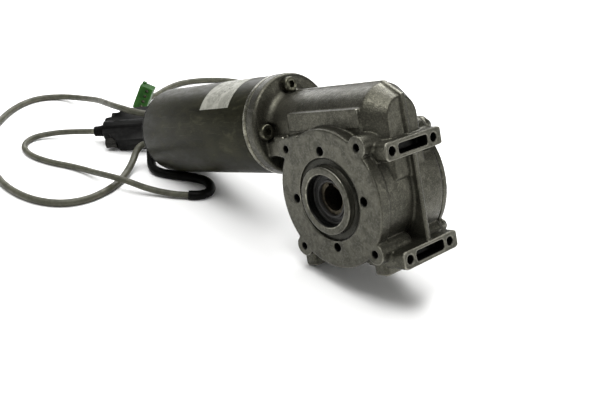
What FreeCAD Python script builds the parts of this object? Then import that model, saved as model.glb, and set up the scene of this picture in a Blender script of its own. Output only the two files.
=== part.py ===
"""Geared dc motor: permanent-magnet motor, worm gearbox with a hollow output shaft, two cords.

Everything but the cords is drawn in the machine frame, in millimetres: the origin is the middle of
the output bore, X runs along the motor axis towards the gearbox end, Y along the output axis with
the output flange at -Y, and Z from the output axis up to the motor axis. The whole drive is then
leaned about Y, because it lies on a bench on its left foot and the rim of its rear cap.
"""
import FreeCAD, Part
import math
import os
from FreeCAD import Vector

# ---------------------------------------------------------------- driving dimensions, mm
CENTRE = 40.0              # output axis to worm axis
MODULE = 1.6
WHEEL_TEETH = 40

TUBE_R = 31.5              # motor tube, outside
TUBE_WALL = 3.0
TUBE_FRONT = -64.8
TUBE_REAR = -191.5
CAP_R = 31.0
CAP_REAR = -195.0
CAP_ROUND = 2.0
SHIELD_R = 32.0
SHIELD_FRONT = -60.3

MOTOR_FLANGE_R = 32.0
MOTOR_FLANGE_FRONT = -52.0
MOTOR_FLANGE_ROUND = 2.4
MOTOR_SCREW_RING_R = 24.8
MOTOR_SCREW_LENGTH = 12.7
MOTOR_SCREW_R = 2.6
MOTOR_SCREW_HEAD_R = 4.8
MOTOR_SCREW_HEAD = 4.2
MOTOR_SCREW_ROOM_R = 6.4   # space round each head
MOTOR_SCREW_CLEAR_R = 3.2

FLANGE_R = 41.0            # output flange
FLANGE_FRONT = -28.5
FLANGE_BACK = -20.5
FLANGE_HOLE_RING_R = 28.3
EAR_AT = 29.9              # corner ears, half their square
EAR_R = 6.3
COLLAR_R = 20.0
COLLAR_BORE_R = 15.0
COLLAR_FRONT = -31.7
COLLAR_RECESS_R = 24.5     # sunk ring round the collar
COLLAR_RECESS = 2.0
FLANGE_EDGE = 0.6          # chamfer of the output flange

DRUM_R = 39.5              # wheel housing
WHEEL_CAVITY_R = 34.5
REAR_JOINT = 21.5          # housing to gasket
GASKET = 0.5
COVER_R = 42.0
COVER_BACK = 25.5
COVER_EAR_AT = 30.0
COVER_GAP = 0.4            # round the cover's edge, to the foot bars
WEB_BACK = 3.5

BARREL_R = 20.0            # worm barrel
BARREL_END = 40.0
BARREL_TAPER = 28.5        # where its end starts to taper
BARREL_END_R = 11.8
WORM_BORE_R = 11.0

WHEEL_BEARING_WIDTH = 7.0
WHEEL_BEARING_R = 16.0
FRONT_WHEEL_BEARING = -20.0
REAR_WHEEL_BEARING = 13.0
SHAFT_BEARING_WIDTH = 8.0  # worm drive side and both motor bearings
WORM_DRIVE_BEARING = -46.2
WORM_END_BEARING = 25.0
DRIVE_BEARING_R = 14.0
CIRCLIP_GROOVE = (-47.7, -46.3)
CIRCLIP_R = 14.7

FOOT_FACE = 45.0           # foot faces to the output axis
FOOT_WIDTH = 10.4
FOOT_NEAR = 25.2           # foot bar centres
FOOT_FAR = -35.1
FOOT_FRONT = -21.8
FOOT_BACK = 23.3
FOOT_HOLE_AT = 16.7
TAP_R = 2.5                # M6 tapping bore
SMALL_TAP_R = 2.1          # M5 tapping bore
COVER_TAP_R = 1.65         # M4 tapping bore
COVER_CLEAR_R = 2.35       # M4 clearance hole

SHAFT_R = 10.0             # hollow output shaft
SHAFT_BORE_R = 7.5
SHAFT_HALF = 24.6
SHAFT_WHEEL_SEAT_R = 12.0
KEY_WIDTH = 6.0
KEY_HALF = 11.0
KEY_FOOT = 10.4            # from the shaft's axis
KEY_TOP = 14.8
SHAFT_CLIP_STATIONS = (-21.2, 20.1)
SHAFT_CLIP_WIDTH = 1.1
RUNNING = 0.05             # radial running clearance

THROUGH_BOLT_AT = 26.2     # either side of the motor axis
THROUGH_BOLT_R = 2.0
MOTOR_FRONT_BEARING = -71.5
MOTOR_REAR_BEARING = -183.3
SHIELD_SPIGOT_END = -72.0
REAR_SHIELD = (-180.0, -176.0)
CORE = (-150.0, -92.0)     # armature laminations
CORE_R = 24.0
WINDING_END_R = 22.0
WINDING_END = 7.5
COMMUTATOR = (-171.0, -160.5)
COMMUTATOR_R = 10.5
ROTOR_SHAFT_R = 7.0
COUPLING_KEY = (-46.0, -34.0)
COUPLING_KEY_HALF = 1.25

POWER_D = 4.6
SLEEVE_D = 6.8
ENCODER_D = 5.2
GLAND_LENGTH = 8.0

# ---------------------------------------------------------------- how it leans on the bench
FOOT_EDGE = (FOOT_FAR - FOOT_WIDTH / 2, -FOOT_FACE)
RIM_CENTRE = (CAP_REAR + CAP_ROUND, CENTRE - CAP_R + CAP_ROUND)
_run = FOOT_EDGE[0] - RIM_CENTRE[0]
_rise = RIM_CENTRE[1] - FOOT_EDGE[1]
LEAN = math.atan2(_rise, _run) - math.asin(CAP_ROUND / math.hypot(_run, _rise))
BENCH_Z = FOOT_EDGE[0] * math.sin(LEAN) + FOOT_EDGE[1] * math.cos(LEAN)


def lean_point(x, y, z):
    """A machine-frame point in the leaned frame."""
    return Vector(x * math.cos(LEAN) - z * math.sin(LEAN), y, x * math.sin(LEAN) + z * math.cos(LEAN))


# ---------------------------------------------------------------- shape helpers
def cyl_x(x0, x1, r, y=0.0, z=CENTRE):
    return Part.makeCylinder(r, x1 - x0, Vector(x0, y, z), Vector(1, 0, 0))


def cyl_y(y0, y1, r, x=0.0, z=0.0):
    return Part.makeCylinder(r, y1 - y0, Vector(x, y0, z), Vector(0, 1, 0))


def cyl_z(z0, z1, r, x, y):
    return Part.makeCylinder(r, z1 - z0, Vector(x, y, z0), Vector(0, 0, 1))


def box(x0, x1, y0, y1, z0, z1):
    return Part.makeBox(x1 - x0, y1 - y0, z1 - z0, Vector(x0, y0, z0))


def rounded_box(x0, x1, y0, y1, z0, z1, along, r):
    """A box whose four edges along one axis are rounded."""
    solid = box(x0, x1, y0, y1, z0, z1)
    axis = {"x": Vector(1, 0, 0), "y": Vector(0, 1, 0), "z": Vector(0, 0, 1)}[along]
    edges = [e for e in solid.Edges if abs(e.tangentAt(e.FirstParameter).dot(axis)) > 0.99]
    return solid.makeFillet(r, edges)


def prism_y(points, y0, y1):
    """An outline of (x, z) points drawn out along Y."""
    corners = [Vector(x, y0, z) for x, z in points]
    face = Part.Face(Part.makePolygon(corners + corners[:1]))
    return face.extrude(Vector(0, y1 - y0, 0))


def group(solids):
    return Part.makeCompound(solids)


def tapped_hole(mouth, into, r, depth, countersink=0.4):
    """The space of a blind tapped hole with a countersunk mouth."""
    way = Vector(*into)
    start = Vector(*mouth)
    bore = Part.makeCylinder(r, depth, start, way)
    cone = Part.makeCone(r + countersink, r, countersink, start, way)
    return bore.fuse(cone)


def hexagon_prism(start, way, across_flats, depth):
    """A hexagonal prism that starts at a point and runs along X or Y."""
    corner_r = across_flats / math.sqrt(3)
    corners = []
    for k in range(6):
        a = math.radians(60 * k)
        u = corner_r * math.cos(a)
        v = corner_r * math.sin(a)
        offset = Vector(0, u, v) if way.x else Vector(u, 0, v)
        corners.append(start + offset)
    face = Part.Face(Part.makePolygon(corners + corners[:1]))
    return face.extrude(way * depth)


def cap_screw(under_head, way, thread_r, head_r, head_height, length, rim_round=0.5):
    """A socket cap screw: way points from the head's underside out through its top."""
    seat = Vector(*under_head)
    out = Vector(*way)
    head = Part.makeCylinder(head_r, head_height, seat, out)
    shank = Part.makeCylinder(thread_r, length, seat - out * length, out)
    top = seat + out * head_height
    rim = [e for e in head.Edges if isinstance(e.Curve, Part.Circle) and (e.Curve.Center - top).Length < 0.01]
    head = head.makeFillet(rim_round, rim)
    socket = hexagon_prism(top, out * -1, thread_r * 1.7, head_height * 0.6)
    return head.fuse(shank).cut(socket)


def bearing(axis, start, width, r_in, r_out, centre, balls=9):
    """A sealed ball bearing: its outer ring with balls and shields, and its inner ring."""
    pitch_r = (r_in + r_out) / 2
    ball_r = 0.27 * (r_out - r_in)
    land = 0.62 * ball_r
    mid = start + width / 2
    shield = 0.4

    def ring(a, b, r0, r1):
        if axis == "x":
            return cyl_x(a, b, r1, *centre).cut(cyl_x(a - 1, b + 1, r0, *centre))
        return cyl_y(a, b, r1, *centre).cut(cyl_y(a - 1, b + 1, r0, *centre))

    def at(a, radius, angle):
        u = radius * math.cos(angle)
        v = radius * math.sin(angle)
        if axis == "x":
            return Vector(a, centre[0] + u, centre[1] + v)
        return Vector(centre[0] + u, a, centre[1] + v)

    way = Vector(1, 0, 0) if axis == "x" else Vector(0, 1, 0)
    hub = at(mid, 0, 0)
    outer = ring(start, start + width, pitch_r + land, r_out)
    outer = outer.cut(Part.makeTorus(pitch_r, ball_r + 0.03, hub, way))
    for side in (start + 0.3, start + width - 0.3 - shield):
        outer = outer.fuse(ring(side, side + shield, pitch_r - land + 0.3, pitch_r + land + 0.2))
    inner = ring(start, start + width, r_in, pitch_r - land)
    inner = inner.cut(Part.makeTorus(pitch_r, ball_r + RUNNING, hub, way))
    spheres = [Part.makeSphere(ball_r, at(mid, pitch_r, 2 * math.pi * k / balls)) for k in range(balls)]
    return group([outer] + spheres), inner


# ---------------------------------------------------------------- gear housing
def foot_bars():
    """Machined foot bars on the end side and the under side, with what ties them to the drum."""
    half = FOOT_WIDTH / 2
    near = (FOOT_NEAR - half, FOOT_NEAR + half)
    far = (FOOT_FAR - half, FOOT_FAR + half)
    side_near = rounded_box(27, FOOT_FACE, FOOT_FRONT, FOOT_BACK, near[0], near[1], "x", 2.4)
    side_far = rounded_box(16, FOOT_FACE, FOOT_FRONT, FOOT_BACK, far[0], far[1], "x", 2.4)
    under_near = rounded_box(near[0], near[1], FOOT_FRONT, FOOT_BACK, -FOOT_FACE, -24, "z", 2.4)
    under_far = rounded_box(far[0], far[1], FOOT_FRONT, FOOT_BACK, -FOOT_FACE, -12, "z", 2.4)
    return [side_near, side_far, under_near, under_far]


def foot_cuts():
    """Tapped holes at the ends of each foot bar and the pocket between them."""
    cuts = []
    pocket_half = 11.5
    pocket_width = 5.7
    depth = 8.0
    for centre in (FOOT_NEAR, FOOT_FAR):
        low = centre - pocket_width / 2
        high = centre + pocket_width / 2
        ends = (-pocket_half, pocket_half)
        cuts.append(rounded_box(FOOT_FACE - depth, FOOT_FACE + 1, *ends, low, high, "x", 1.2))
        cuts.append(rounded_box(low, high, *ends, -FOOT_FACE - 1, -FOOT_FACE + depth, "z", 1.2))
        for y in (-FOOT_HOLE_AT, FOOT_HOLE_AT):
            cuts.append(tapped_hole((FOOT_FACE, y, centre), (-1, 0, 0), TAP_R, 11))
            cuts.append(tapped_hole((centre, y, -FOOT_FACE), (0, 0, 1), TAP_R, 11))
    return cuts


def worm_barrel():
    """Arched barrel round the worm, its tapered end, its name plate pad and its top rib."""
    arch = cyl_x(MOTOR_FLANGE_FRONT - 1, BARREL_TAPER, BARREL_R)
    nose = Part.makeCone(BARREL_R, BARREL_END_R, BARREL_END - BARREL_TAPER, Vector(BARREL_TAPER, 0, CENTRE),
                         Vector(1, 0, 0))
    foot = 8
    outline = [(-34, -BARREL_R), (BARREL_TAPER, -BARREL_R), (BARREL_END, -BARREL_END_R),
               (BARREL_END, BARREL_END_R), (BARREL_TAPER, BARREL_R), (-34, BARREL_R)]
    corners = [Vector(x, y, foot) for x, y in outline]
    sides = Part.Face(Part.makePolygon(corners + corners[:1])).extrude(Vector(0, 0, CENTRE - foot))
    name_pad = rounded_box(-33, 27, -20.4, -12, CENTRE - 1, 49.5, "y", 1.0)
    rib = prism_y([(-46, 50), (-46, 60.9), (BARREL_TAPER + 0.5, 60.9), (41.4, 52.8), (41.9, 24), (30, 24),
                   (30, 50)], 0, 3)
    return arch.fuse([nose, sides, name_pad, rib])


def motor_flange():
    """Round flange that takes the motor, flared into the barrel, with four screw seats."""
    disc = cyl_x(SHIELD_FRONT, MOTOR_FLANGE_FRONT, MOTOR_FLANGE_R)
    rims = [e for e in disc.Edges if isinstance(e.Curve, Part.Circle)]
    rim = [e for e in rims if e.Curve.Center.x > MOTOR_FLANGE_FRONT - 1]
    disc = disc.makeFillet(MOTOR_FLANGE_ROUND, rim)
    flare_r = 5.0
    flare = cyl_x(MOTOR_FLANGE_FRONT, MOTOR_FLANGE_FRONT + flare_r, BARREL_R + flare_r)
    hollow = Part.makeTorus(BARREL_R + flare_r, flare_r, Vector(MOTOR_FLANGE_FRONT + flare_r, 0, CENTRE),
                            Vector(1, 0, 0))
    return disc.fuse(flare.cut(hollow))


def motor_screw_places():
    return [(MOTOR_SCREW_RING_R * math.cos(a), CENTRE + MOTOR_SCREW_RING_R * math.sin(a))
            for a in (0, math.pi / 2, math.pi, 3 * math.pi / 2)]


def corner_places(half):
    return [(sx * half, sz * half) for sx in (-1, 1) for sz in (-1, 1)]


def gear_housing():
    drum = cyl_y(FLANGE_BACK - 1, REAR_JOINT, DRUM_R)
    disc = cyl_y(FLANGE_FRONT, FLANGE_BACK, FLANGE_R)
    front_edge = [e for e in disc.Edges
                  if isinstance(e.Curve, Part.Circle) and e.Curve.Center.y < FLANGE_FRONT + 1]
    disc = disc.makeChamfer(FLANGE_EDGE, front_edge)
    rear_rim = cyl_y(WEB_BACK, REAR_JOINT, COVER_R)
    recess_floor = FLANGE_FRONT + COLLAR_RECESS
    disc = disc.cut(cyl_y(FLANGE_FRONT - 1, recess_floor, COLLAR_RECESS_R))
    collar = cyl_y(COLLAR_FRONT, recess_floor, COLLAR_R)
    body = drum.fuse([disc, rear_rim, collar, worm_barrel(), motor_flange()] + foot_bars())
    for x, z in corner_places(EAR_AT):
        body = body.fuse(cyl_y(FLANGE_FRONT, -4, EAR_R, x, z))
    for x, z in corner_places(COVER_EAR_AT):
        body = body.fuse(cyl_y(10, REAR_JOINT, EAR_R, x, z))
    # the upper left ear is a longer lobe, tied to the motor flange by a gusset
    lobe = prism_y([(-18, 37.7), (-27.1, 36.9), (-34.2, 35.2), (-36.9, 32.6), (-37.2, 29.6), (-36.2, 25),
                    (-18, 25)], FLANGE_FRONT, FLANGE_BACK)
    gusset = prism_y([(-52.5, 25), (-52.5, 36.5), (-36, 36.5), (-33, 24)], -24.5, -17)
    web = prism_y([(43.4, 22), (43.4, -33), (38, -40), (28, -43.4), (-32, -43.4), (-40, -38), (-41.5, 0),
                   (-40, 25), (0, 40), (38, 36)], 0, WEB_BACK)
    body = body.fuse([lobe, gusset, web])
    # small ribs behind the upper side foot
    for z in (23.5, 17.5):
        body = body.fuse(box(30, 38.5, 4, 19, z - 0.8, z + 0.8))

    cavity = [
        cyl_y(-12.6, REAR_JOINT + 1, WHEEL_CAVITY_R),
        cyl_y(FRONT_WHEEL_BEARING - 0.6, -12, WHEEL_BEARING_R),
        cyl_y(COLLAR_FRONT - 1, -20, COLLAR_BORE_R),
        cyl_x(-45, 32, WORM_BORE_R),
        cyl_x(-53, WORM_DRIVE_BEARING + SHAFT_BEARING_WIDTH + 0.2, DRIVE_BEARING_R),
        cyl_x(SHIELD_FRONT - 1, -52.5, 15),
        cyl_x(*CIRCLIP_GROOVE, CIRCLIP_R),
    ]
    mouth_edge = 0.9
    mouth = Part.makeCone(COLLAR_BORE_R + mouth_edge, COLLAR_BORE_R, mouth_edge, Vector(0, COLLAR_FRONT, 0),
                          Vector(0, 1, 0))
    # the foot bars step back where the cover and its ears sit
    cover_room = [cyl_y(REAR_JOINT, FOOT_BACK + 1, COVER_R + COVER_GAP)]
    for x, z in corner_places(COVER_EAR_AT):
        cover_room.append(cyl_y(REAR_JOINT, FOOT_BACK + 1, EAR_R + COVER_GAP, x, z))
    cuts = cavity + foot_cuts() + cover_room + [mouth]
    for k in range(4):
        a = k * math.pi / 2
        at = (FLANGE_HOLE_RING_R * math.cos(a), FLANGE_FRONT, FLANGE_HOLE_RING_R * math.sin(a))
        cuts.append(tapped_hole(at, (0, 1, 0), TAP_R, 12))
    for x, z in corner_places(EAR_AT):
        cuts.append(tapped_hole((x, FLANGE_FRONT, z), (0, 1, 0), SMALL_TAP_R, 14))
    for x, z in corner_places(COVER_EAR_AT):
        cuts.append(cyl_y(10.5, REAR_JOINT + 1, COVER_TAP_R, x, z))
    body = body.cut(cuts)

    # the flare and the gusset stand back from each motor screw
    for y, z in motor_screw_places():
        recess = cyl_x(MOTOR_FLANGE_FRONT, MOTOR_FLANGE_FRONT + 7, MOTOR_SCREW_ROOM_R, y, z)
        body = body.cut([recess, cyl_x(SHIELD_FRONT - 1, MOTOR_FLANGE_FRONT + 1, MOTOR_SCREW_CLEAR_R, y, z)])
    return body


# ---------------------------------------------------------------- rear cover, seals and wheel
def rear_cover():
    face = REAR_JOINT + GASKET
    plate = cyl_y(face, COVER_BACK, COVER_R)
    boss = cyl_y(COVER_BACK - 1, 29.5, 22)
    spigot = cyl_y(18, face + 0.1, WHEEL_CAVITY_R).cut(cyl_y(17, face, 31))
    seat = cyl_y(13, face + 0.1, 19)
    cover = plate.fuse([boss, spigot, seat])
    for x, z in corner_places(COVER_EAR_AT):
        cover = cover.fuse(cyl_y(face, COVER_BACK, EAR_R, x, z))
    for k in range(8):
        rib = box(20, 40, COVER_BACK - 0.5, COVER_BACK + 1.6, -1.2, 1.2)
        rib.rotate(Vector(0, 0, 0), Vector(0, 1, 0), 22.5 + 45 * k)
        cover = cover.fuse(rib)
    bearing_room = cyl_y(12, REAR_WHEEL_BEARING + WHEEL_BEARING_WIDTH + 0.5, WHEEL_BEARING_R)
    cover = cover.cut([bearing_room, cyl_y(20, 31, COLLAR_BORE_R)])
    for x, z in corner_places(COVER_EAR_AT):
        cover = cover.cut(cyl_y(face - 1, COVER_BACK + 1, COVER_CLEAR_R, x, z))
    return cover


def cover_gasket():
    sheet = cyl_y(REAR_JOINT, REAR_JOINT + GASKET, COVER_R - 0.6)
    for x, z in corner_places(COVER_EAR_AT):
        sheet = sheet.fuse(cyl_y(REAR_JOINT, REAR_JOINT + GASKET, EAR_R - 0.4, x, z))
    sheet = sheet.cut(cyl_y(REAR_JOINT - 1, REAR_JOINT + 2, WHEEL_CAVITY_R))
    for x, z in corner_places(COVER_EAR_AT):
        sheet = sheet.cut(cyl_y(REAR_JOINT - 1, REAR_JOINT + 2, COVER_CLEAR_R, x, z))
    return sheet


def oil_seal(outer, inner):
    """A lip seal between two Y stations, with a spring groove on its outer side."""
    low = min(outer, inner)
    high = max(outer, inner)
    ring = cyl_y(low, high, COLLAR_BORE_R).cut(cyl_y(low - 1, high + 1, SHAFT_R + RUNNING))
    groove_low = min(outer, outer + math.copysign(1.2, inner - outer))
    groove = cyl_y(groove_low, groove_low + 1.2, 13.6).cut(cyl_y(groove_low - 1, groove_low + 2, 11.2))
    return ring.cut(groove)


def worm_wheel():
    """Bronze wheel: helical teeth at the worm's lead angle, with a hub."""
    pitch_r = MODULE * WHEEL_TEETH / 2
    tip_r = pitch_r + MODULE
    root_r = pitch_r - 1.25 * MODULE
    half_face = 9.0
    tooth = 2.2
    slope = math.tan(math.radians(20))
    lead = MODULE / (2 * (CENTRE - pitch_r))

    def half_angle(r):
        return (tooth / 2 - (r - pitch_r) * slope) / r

    def section(y, turn):
        points = []
        for k in range(WHEEL_TEETH):
            middle = math.pi / 2 + (k + 0.5) * 2 * math.pi / WHEEL_TEETH
            for r, side in ((root_r, -1), (tip_r, -1), (tip_r, 1), (root_r, 1)):
                a = middle + side * half_angle(r) - turn
                points.append(Vector(r * math.cos(a), y, r * math.sin(a)))
        return Part.makePolygon(points + points[:1])

    twist = half_face * lead / pitch_r
    rim = Part.makeLoft([section(-half_face, -twist), section(half_face, twist)], True, True)
    hub = cyl_y(-12, 12, 17)
    wheel = rim.fuse(hub)
    for side in (-1, 1):
        low = min(side * half_face, side * 4.5)
        dish = cyl_y(low, low + 4.5, 26).cut(cyl_y(low - 1, low + 6, 17))
        wheel = wheel.cut(dish)
    keyway = box(-KEY_WIDTH / 2, KEY_WIDTH / 2, -13, 13, 0, KEY_TOP)
    return wheel.cut([cyl_y(-13, 13, SHAFT_WHEEL_SEAT_R), keyway])


def hollow_output_shaft():
    shaft = cyl_y(-SHAFT_HALF, SHAFT_HALF, SHAFT_R).fuse(cyl_y(-13, 13, SHAFT_WHEEL_SEAT_R))
    shaft = shaft.cut(cyl_y(-30, 30, SHAFT_BORE_R))
    bore_keyway = box(-2, 2, -30, 30, 0, SHAFT_BORE_R + 1.4)
    key_seat = box(-KEY_WIDTH / 2, KEY_WIDTH / 2, -KEY_HALF, KEY_HALF, KEY_FOOT, 14)
    cuts = [bore_keyway, key_seat]
    for y in SHAFT_CLIP_STATIONS:
        cuts.append(cyl_y(y, y + SHAFT_CLIP_WIDTH, SHAFT_R + 1).cut(cyl_y(y - 1, y + 2, SHAFT_R - 0.5)))
    return shaft.cut(cuts)


def wheel_key():
    return rounded_box(-KEY_WIDTH / 2, KEY_WIDTH / 2, -KEY_HALF, KEY_HALF, KEY_FOOT, KEY_TOP, "z", 1.0)


def output_shaft_circlips():
    clips = []
    for y in SHAFT_CLIP_STATIONS:
        ring = cyl_y(y, y + SHAFT_CLIP_WIDTH, 11.6).cut(cyl_y(y - 1, y + 2, SHAFT_R - 0.5))
        clips.append(ring.cut(box(-2, 2, y - 1, y + 2, -14, 0)))
    return group(clips)


def worm():
    """Single-start right-hand worm with its journals and the socket for the motor shaft."""
    pitch_r = CENTRE - MODULE * WHEEL_TEETH / 2
    lead = math.pi * MODULE
    turns = 10
    tooth = 1.9
    slope = math.tan(math.radians(20))
    root_r = pitch_r - 1.25 * MODULE
    tip_r = pitch_r + MODULE
    below = root_r - 0.4

    def half(r):
        return tooth / 2 - (r - pitch_r) * slope

    corners = [Vector(below, 0, -half(below)), Vector(tip_r, 0, -half(tip_r)),
               Vector(tip_r, 0, half(tip_r)), Vector(below, 0, half(below))]
    helix = Part.Wire(Part.makeHelix(lead, turns * lead, pitch_r))
    thread = helix.makePipeShell([Part.makePolygon(corners + corners[:1])], True, True)
    core = Part.makeCylinder(root_r, (turns + 2) * lead, Vector(0, 0, -lead))
    middle = turns / 2 * lead
    body = core.fuse(thread).common(Part.makeCylinder(12, 40, Vector(0, 0, middle - 20)))
    body.translate(Vector(0, 0, -middle))
    body.rotate(Vector(0, 0, 0), Vector(0, 1, 0), 90)
    body.translate(Vector(0, 0, CENTRE))
    body = body.fuse([
        cyl_x(19.9, 24.8, root_r),
        cyl_x(24, 31.5, 5),
        cyl_x(-47.6, -19.9, 6),
        cyl_x(-38, -36, 7.6),
    ])
    socket = cyl_x(-48, -30, 4)
    keyway = box(-48, -33, -COUPLING_KEY_HALF, COUPLING_KEY_HALF, CENTRE, CENTRE + 5.2)
    return body.cut([socket, keyway])


def worm_bearing_circlip():
    ring = cyl_x(*CIRCLIP_GROOVE, CIRCLIP_R).cut(cyl_x(-49, -45, 12.4))
    return ring.cut(box(-49, -45, -3, 3, CENTRE - 16, CENTRE))


# ---------------------------------------------------------------- motor
def ring_x(x0, x1, r_in, r_out):
    return cyl_x(x0, x1, r_out).cut(cyl_x(x0 - 1, x1 + 1, r_in))


def through_bolt_heights():
    return CENTRE - THROUGH_BOLT_AT, CENTRE + THROUGH_BOLT_AT


def motor_front_shield():
    shield = cyl_x(TUBE_FRONT, SHIELD_FRONT, SHIELD_R)
    spigot = cyl_x(SHIELD_SPIGOT_END, TUBE_FRONT, TUBE_R - TUBE_WALL)
    pilot = cyl_x(SHIELD_FRONT, -58, 15)
    body = shield.fuse([spigot, pilot])
    bearing_end = MOTOR_FRONT_BEARING + SHAFT_BEARING_WIDTH
    cuts = [cyl_x(SHIELD_SPIGOT_END - 1, bearing_end, DRIVE_BEARING_R), cyl_x(-64, -57, ROTOR_SHAFT_R + 0.5)]
    for y, z in motor_screw_places():
        cuts.append(cyl_x(-65.4, -59, MOTOR_SCREW_R, y, z))
    for z in through_bolt_heights():
        cuts.append(cyl_x(SHIELD_SPIGOT_END - 1, -67.4, THROUGH_BOLT_R, 0, z))
    groove = ring_x(TUBE_FRONT, TUBE_FRONT + 0.8, SHIELD_R - 0.7, SHIELD_R + 1)
    return body.cut(cuts + [groove])


def motor_tube():
    tube = ring_x(TUBE_REAR, TUBE_FRONT, TUBE_R - TUBE_WALL, TUBE_R)
    outer_rims = [e for e in tube.Edges
                  if isinstance(e.Curve, Part.Circle) and abs(e.Curve.Radius - TUBE_R) < 0.01]
    return tube.makeChamfer(0.4, outer_rims)


def field_magnets():
    """Two arc magnets on the end side and the front side of the tube."""
    inner = TUBE_R - TUBE_WALL
    ring = ring_x(-156, -84, 24.9, inner)
    half = math.radians(62)
    arcs = []
    for side in (-1, 1):
        reach = 40
        wedge = Part.makePolygon([
            Vector(-170, 0, CENTRE),
            Vector(-170, side * reach * math.cos(half), CENTRE - reach * math.sin(half)),
            Vector(-170, side * reach * 1.5, CENTRE),
            Vector(-170, side * reach * math.cos(half), CENTRE + reach * math.sin(half)),
            Vector(-170, 0, CENTRE),
        ])
        arcs.append(ring.common(Part.Face(wedge).extrude(Vector(100, 0, 0))))
    return group(arcs)


SLOTS = 12
SLOT_R = 2.8
SLOT_RING_R = 19.6


def slot_places():
    return [(SLOT_RING_R * math.cos(2 * math.pi * (k + 0.5) / SLOTS),
             CENTRE + SLOT_RING_R * math.sin(2 * math.pi * (k + 0.5) / SLOTS)) for k in range(SLOTS)]


def armature_core():
    core = ring_x(*CORE, ROTOR_SHAFT_R, CORE_R)
    cuts = []
    for k, (y, z) in enumerate(slot_places()):
        cuts.append(cyl_x(CORE[0] - 1, CORE[1] + 1, SLOT_R, y, z))
        mouth = box(CORE[0] - 1, CORE[1] + 1, SLOT_RING_R, 26, -0.9, 0.9)
        mouth.rotate(Vector(0, 0, 0), Vector(1, 0, 0), 360 * (k + 0.5) / SLOTS)
        mouth.translate(Vector(0, 0, CENTRE))
        cuts.append(mouth)
    return core.cut(cuts)


def armature_windings():
    bars = [cyl_x(CORE[0] - 0.5, CORE[1] + 0.5, SLOT_R, y, z) for y, z in slot_places()]
    ends = [
        ring_x(CORE[1], CORE[1] + WINDING_END, 8.5, WINDING_END_R),
        ring_x(CORE[0] - WINDING_END, CORE[0], 8.5, WINDING_END_R),
    ]
    rounded = []
    for end in ends:
        rims = [e for e in end.Edges
                if isinstance(e.Curve, Part.Circle) and abs(e.Curve.Radius - WINDING_END_R) < 0.01]
        rounded.append(end.makeFillet(2.5, rims))
    return rounded[0].fuse([rounded[1]] + bars)


def commutator():
    riser = ring_x(COMMUTATOR[1], COMMUTATOR[1] + 2, ROTOR_SHAFT_R, 12)
    body = ring_x(*COMMUTATOR, ROTOR_SHAFT_R, COMMUTATOR_R).fuse(riser)
    cuts = []
    for k in range(SLOTS):
        groove = box(-172, -161.5, 9.6, 11, -0.2, 0.2)
        groove.rotate(Vector(0, 0, 0), Vector(1, 0, 0), 360 * k / SLOTS)
        groove.translate(Vector(0, 0, CENTRE))
        cuts.append(groove)
    return body.cut(cuts)


def rotor_shaft():
    shaft = cyl_x(-184, -172, 5).fuse([
        cyl_x(-190.5, -183.5, 3),
        cyl_x(-172.5, -76, ROTOR_SHAFT_R),
        cyl_x(-76.5, -52, 6),
        cyl_x(-52.5, -30.5, 4),
    ])
    key_seat = box(*COUPLING_KEY, -COUPLING_KEY_HALF, COUPLING_KEY_HALF, CENTRE + 2.6, CENTRE + 6)
    return shaft.cut(key_seat)


def shaft_coupling_key():
    return box(*COUPLING_KEY, -COUPLING_KEY_HALF, COUPLING_KEY_HALF, CENTRE + 2.6, CENTRE + 5.1)


def rear_bearing_shield():
    low = REAR_SHIELD[0] - 1
    high = REAR_SHIELD[1] + 1
    disc = cyl_x(*REAR_SHIELD, TUBE_R - TUBE_WALL)
    boss = cyl_x(-185, -174.5, 17)
    cuts = [cyl_x(-183.5, -174, 13), cyl_x(-186, -183, 6.5)]
    for z in through_bolt_heights():
        cuts.append(cyl_x(low, high, THROUGH_BOLT_R, 0, z))
    for side in (-1, 1):
        cuts.append(box(low, high, side * 22 - 3, side * 22 + 3, CENTRE - 6, CENTRE + 6))
    return disc.fuse(boss).cut(cuts)


def through_bolts():
    return group([cap_screw((REAR_SHIELD[0], 0, z), (-1, 0, 0), THROUGH_BOLT_R, 2.2, 3.0, 112)
                  for z in through_bolt_heights()])


BRUSH_FRONT = -162.6
BRUSH_REAR = -168.6


def brush_plate():
    plate = ring_x(-173.4, -171.6, 12, TUBE_R - TUBE_WALL)
    return plate.cut([cyl_x(-174, -171, 2.8, 0, z) for z in through_bolt_heights()])


def brush_holders():
    holders = []
    for side in (-1, 1):
        ends = sorted((side * 12.5, side * 26.5))
        shell = box(-171.6, -161.4, ends[0], ends[1], CENTRE - 5.2, CENTRE + 5.2)
        inside = sorted((side * 12, side * 25.5))
        well = box(BRUSH_REAR - 0.1, BRUSH_FRONT + 0.1, inside[0], inside[1], CENTRE - 4.1, CENTRE + 4.1)
        holders.append(shell.cut(well))
    return group(holders)


def carbon_brushes():
    brushes = []
    for side in (-1, 1):
        ends = sorted((side * 9, side * 21))
        block = box(BRUSH_REAR, BRUSH_FRONT, ends[0], ends[1], CENTRE - 4, CENTRE + 4)
        brushes.append(block.cut(cyl_x(-175, -155, COMMUTATOR_R + RUNNING)))
    return group(brushes)


def brush_springs():
    springs = []
    wire_r = 0.3
    coil_r = 2.0
    for side in (-1, 1):
        helix = Part.Wire(Part.makeHelix(0.95, 3.8, coil_r))
        corners = []
        for k in range(8):
            a = math.pi * k / 4
            corners.append(Vector(coil_r + wire_r * math.cos(a), 0, wire_r * math.sin(a)))
        coil = helix.makePipeShell([Part.makePolygon(corners + corners[:1])], True, True)
        coil.rotate(Vector(0, 0, 0), Vector(1, 0, 0), -90 * side)
        coil.translate(Vector((BRUSH_FRONT + BRUSH_REAR) / 2, side * 21.35, CENTRE))
        springs.append(coil)
    return group(springs)


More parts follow.
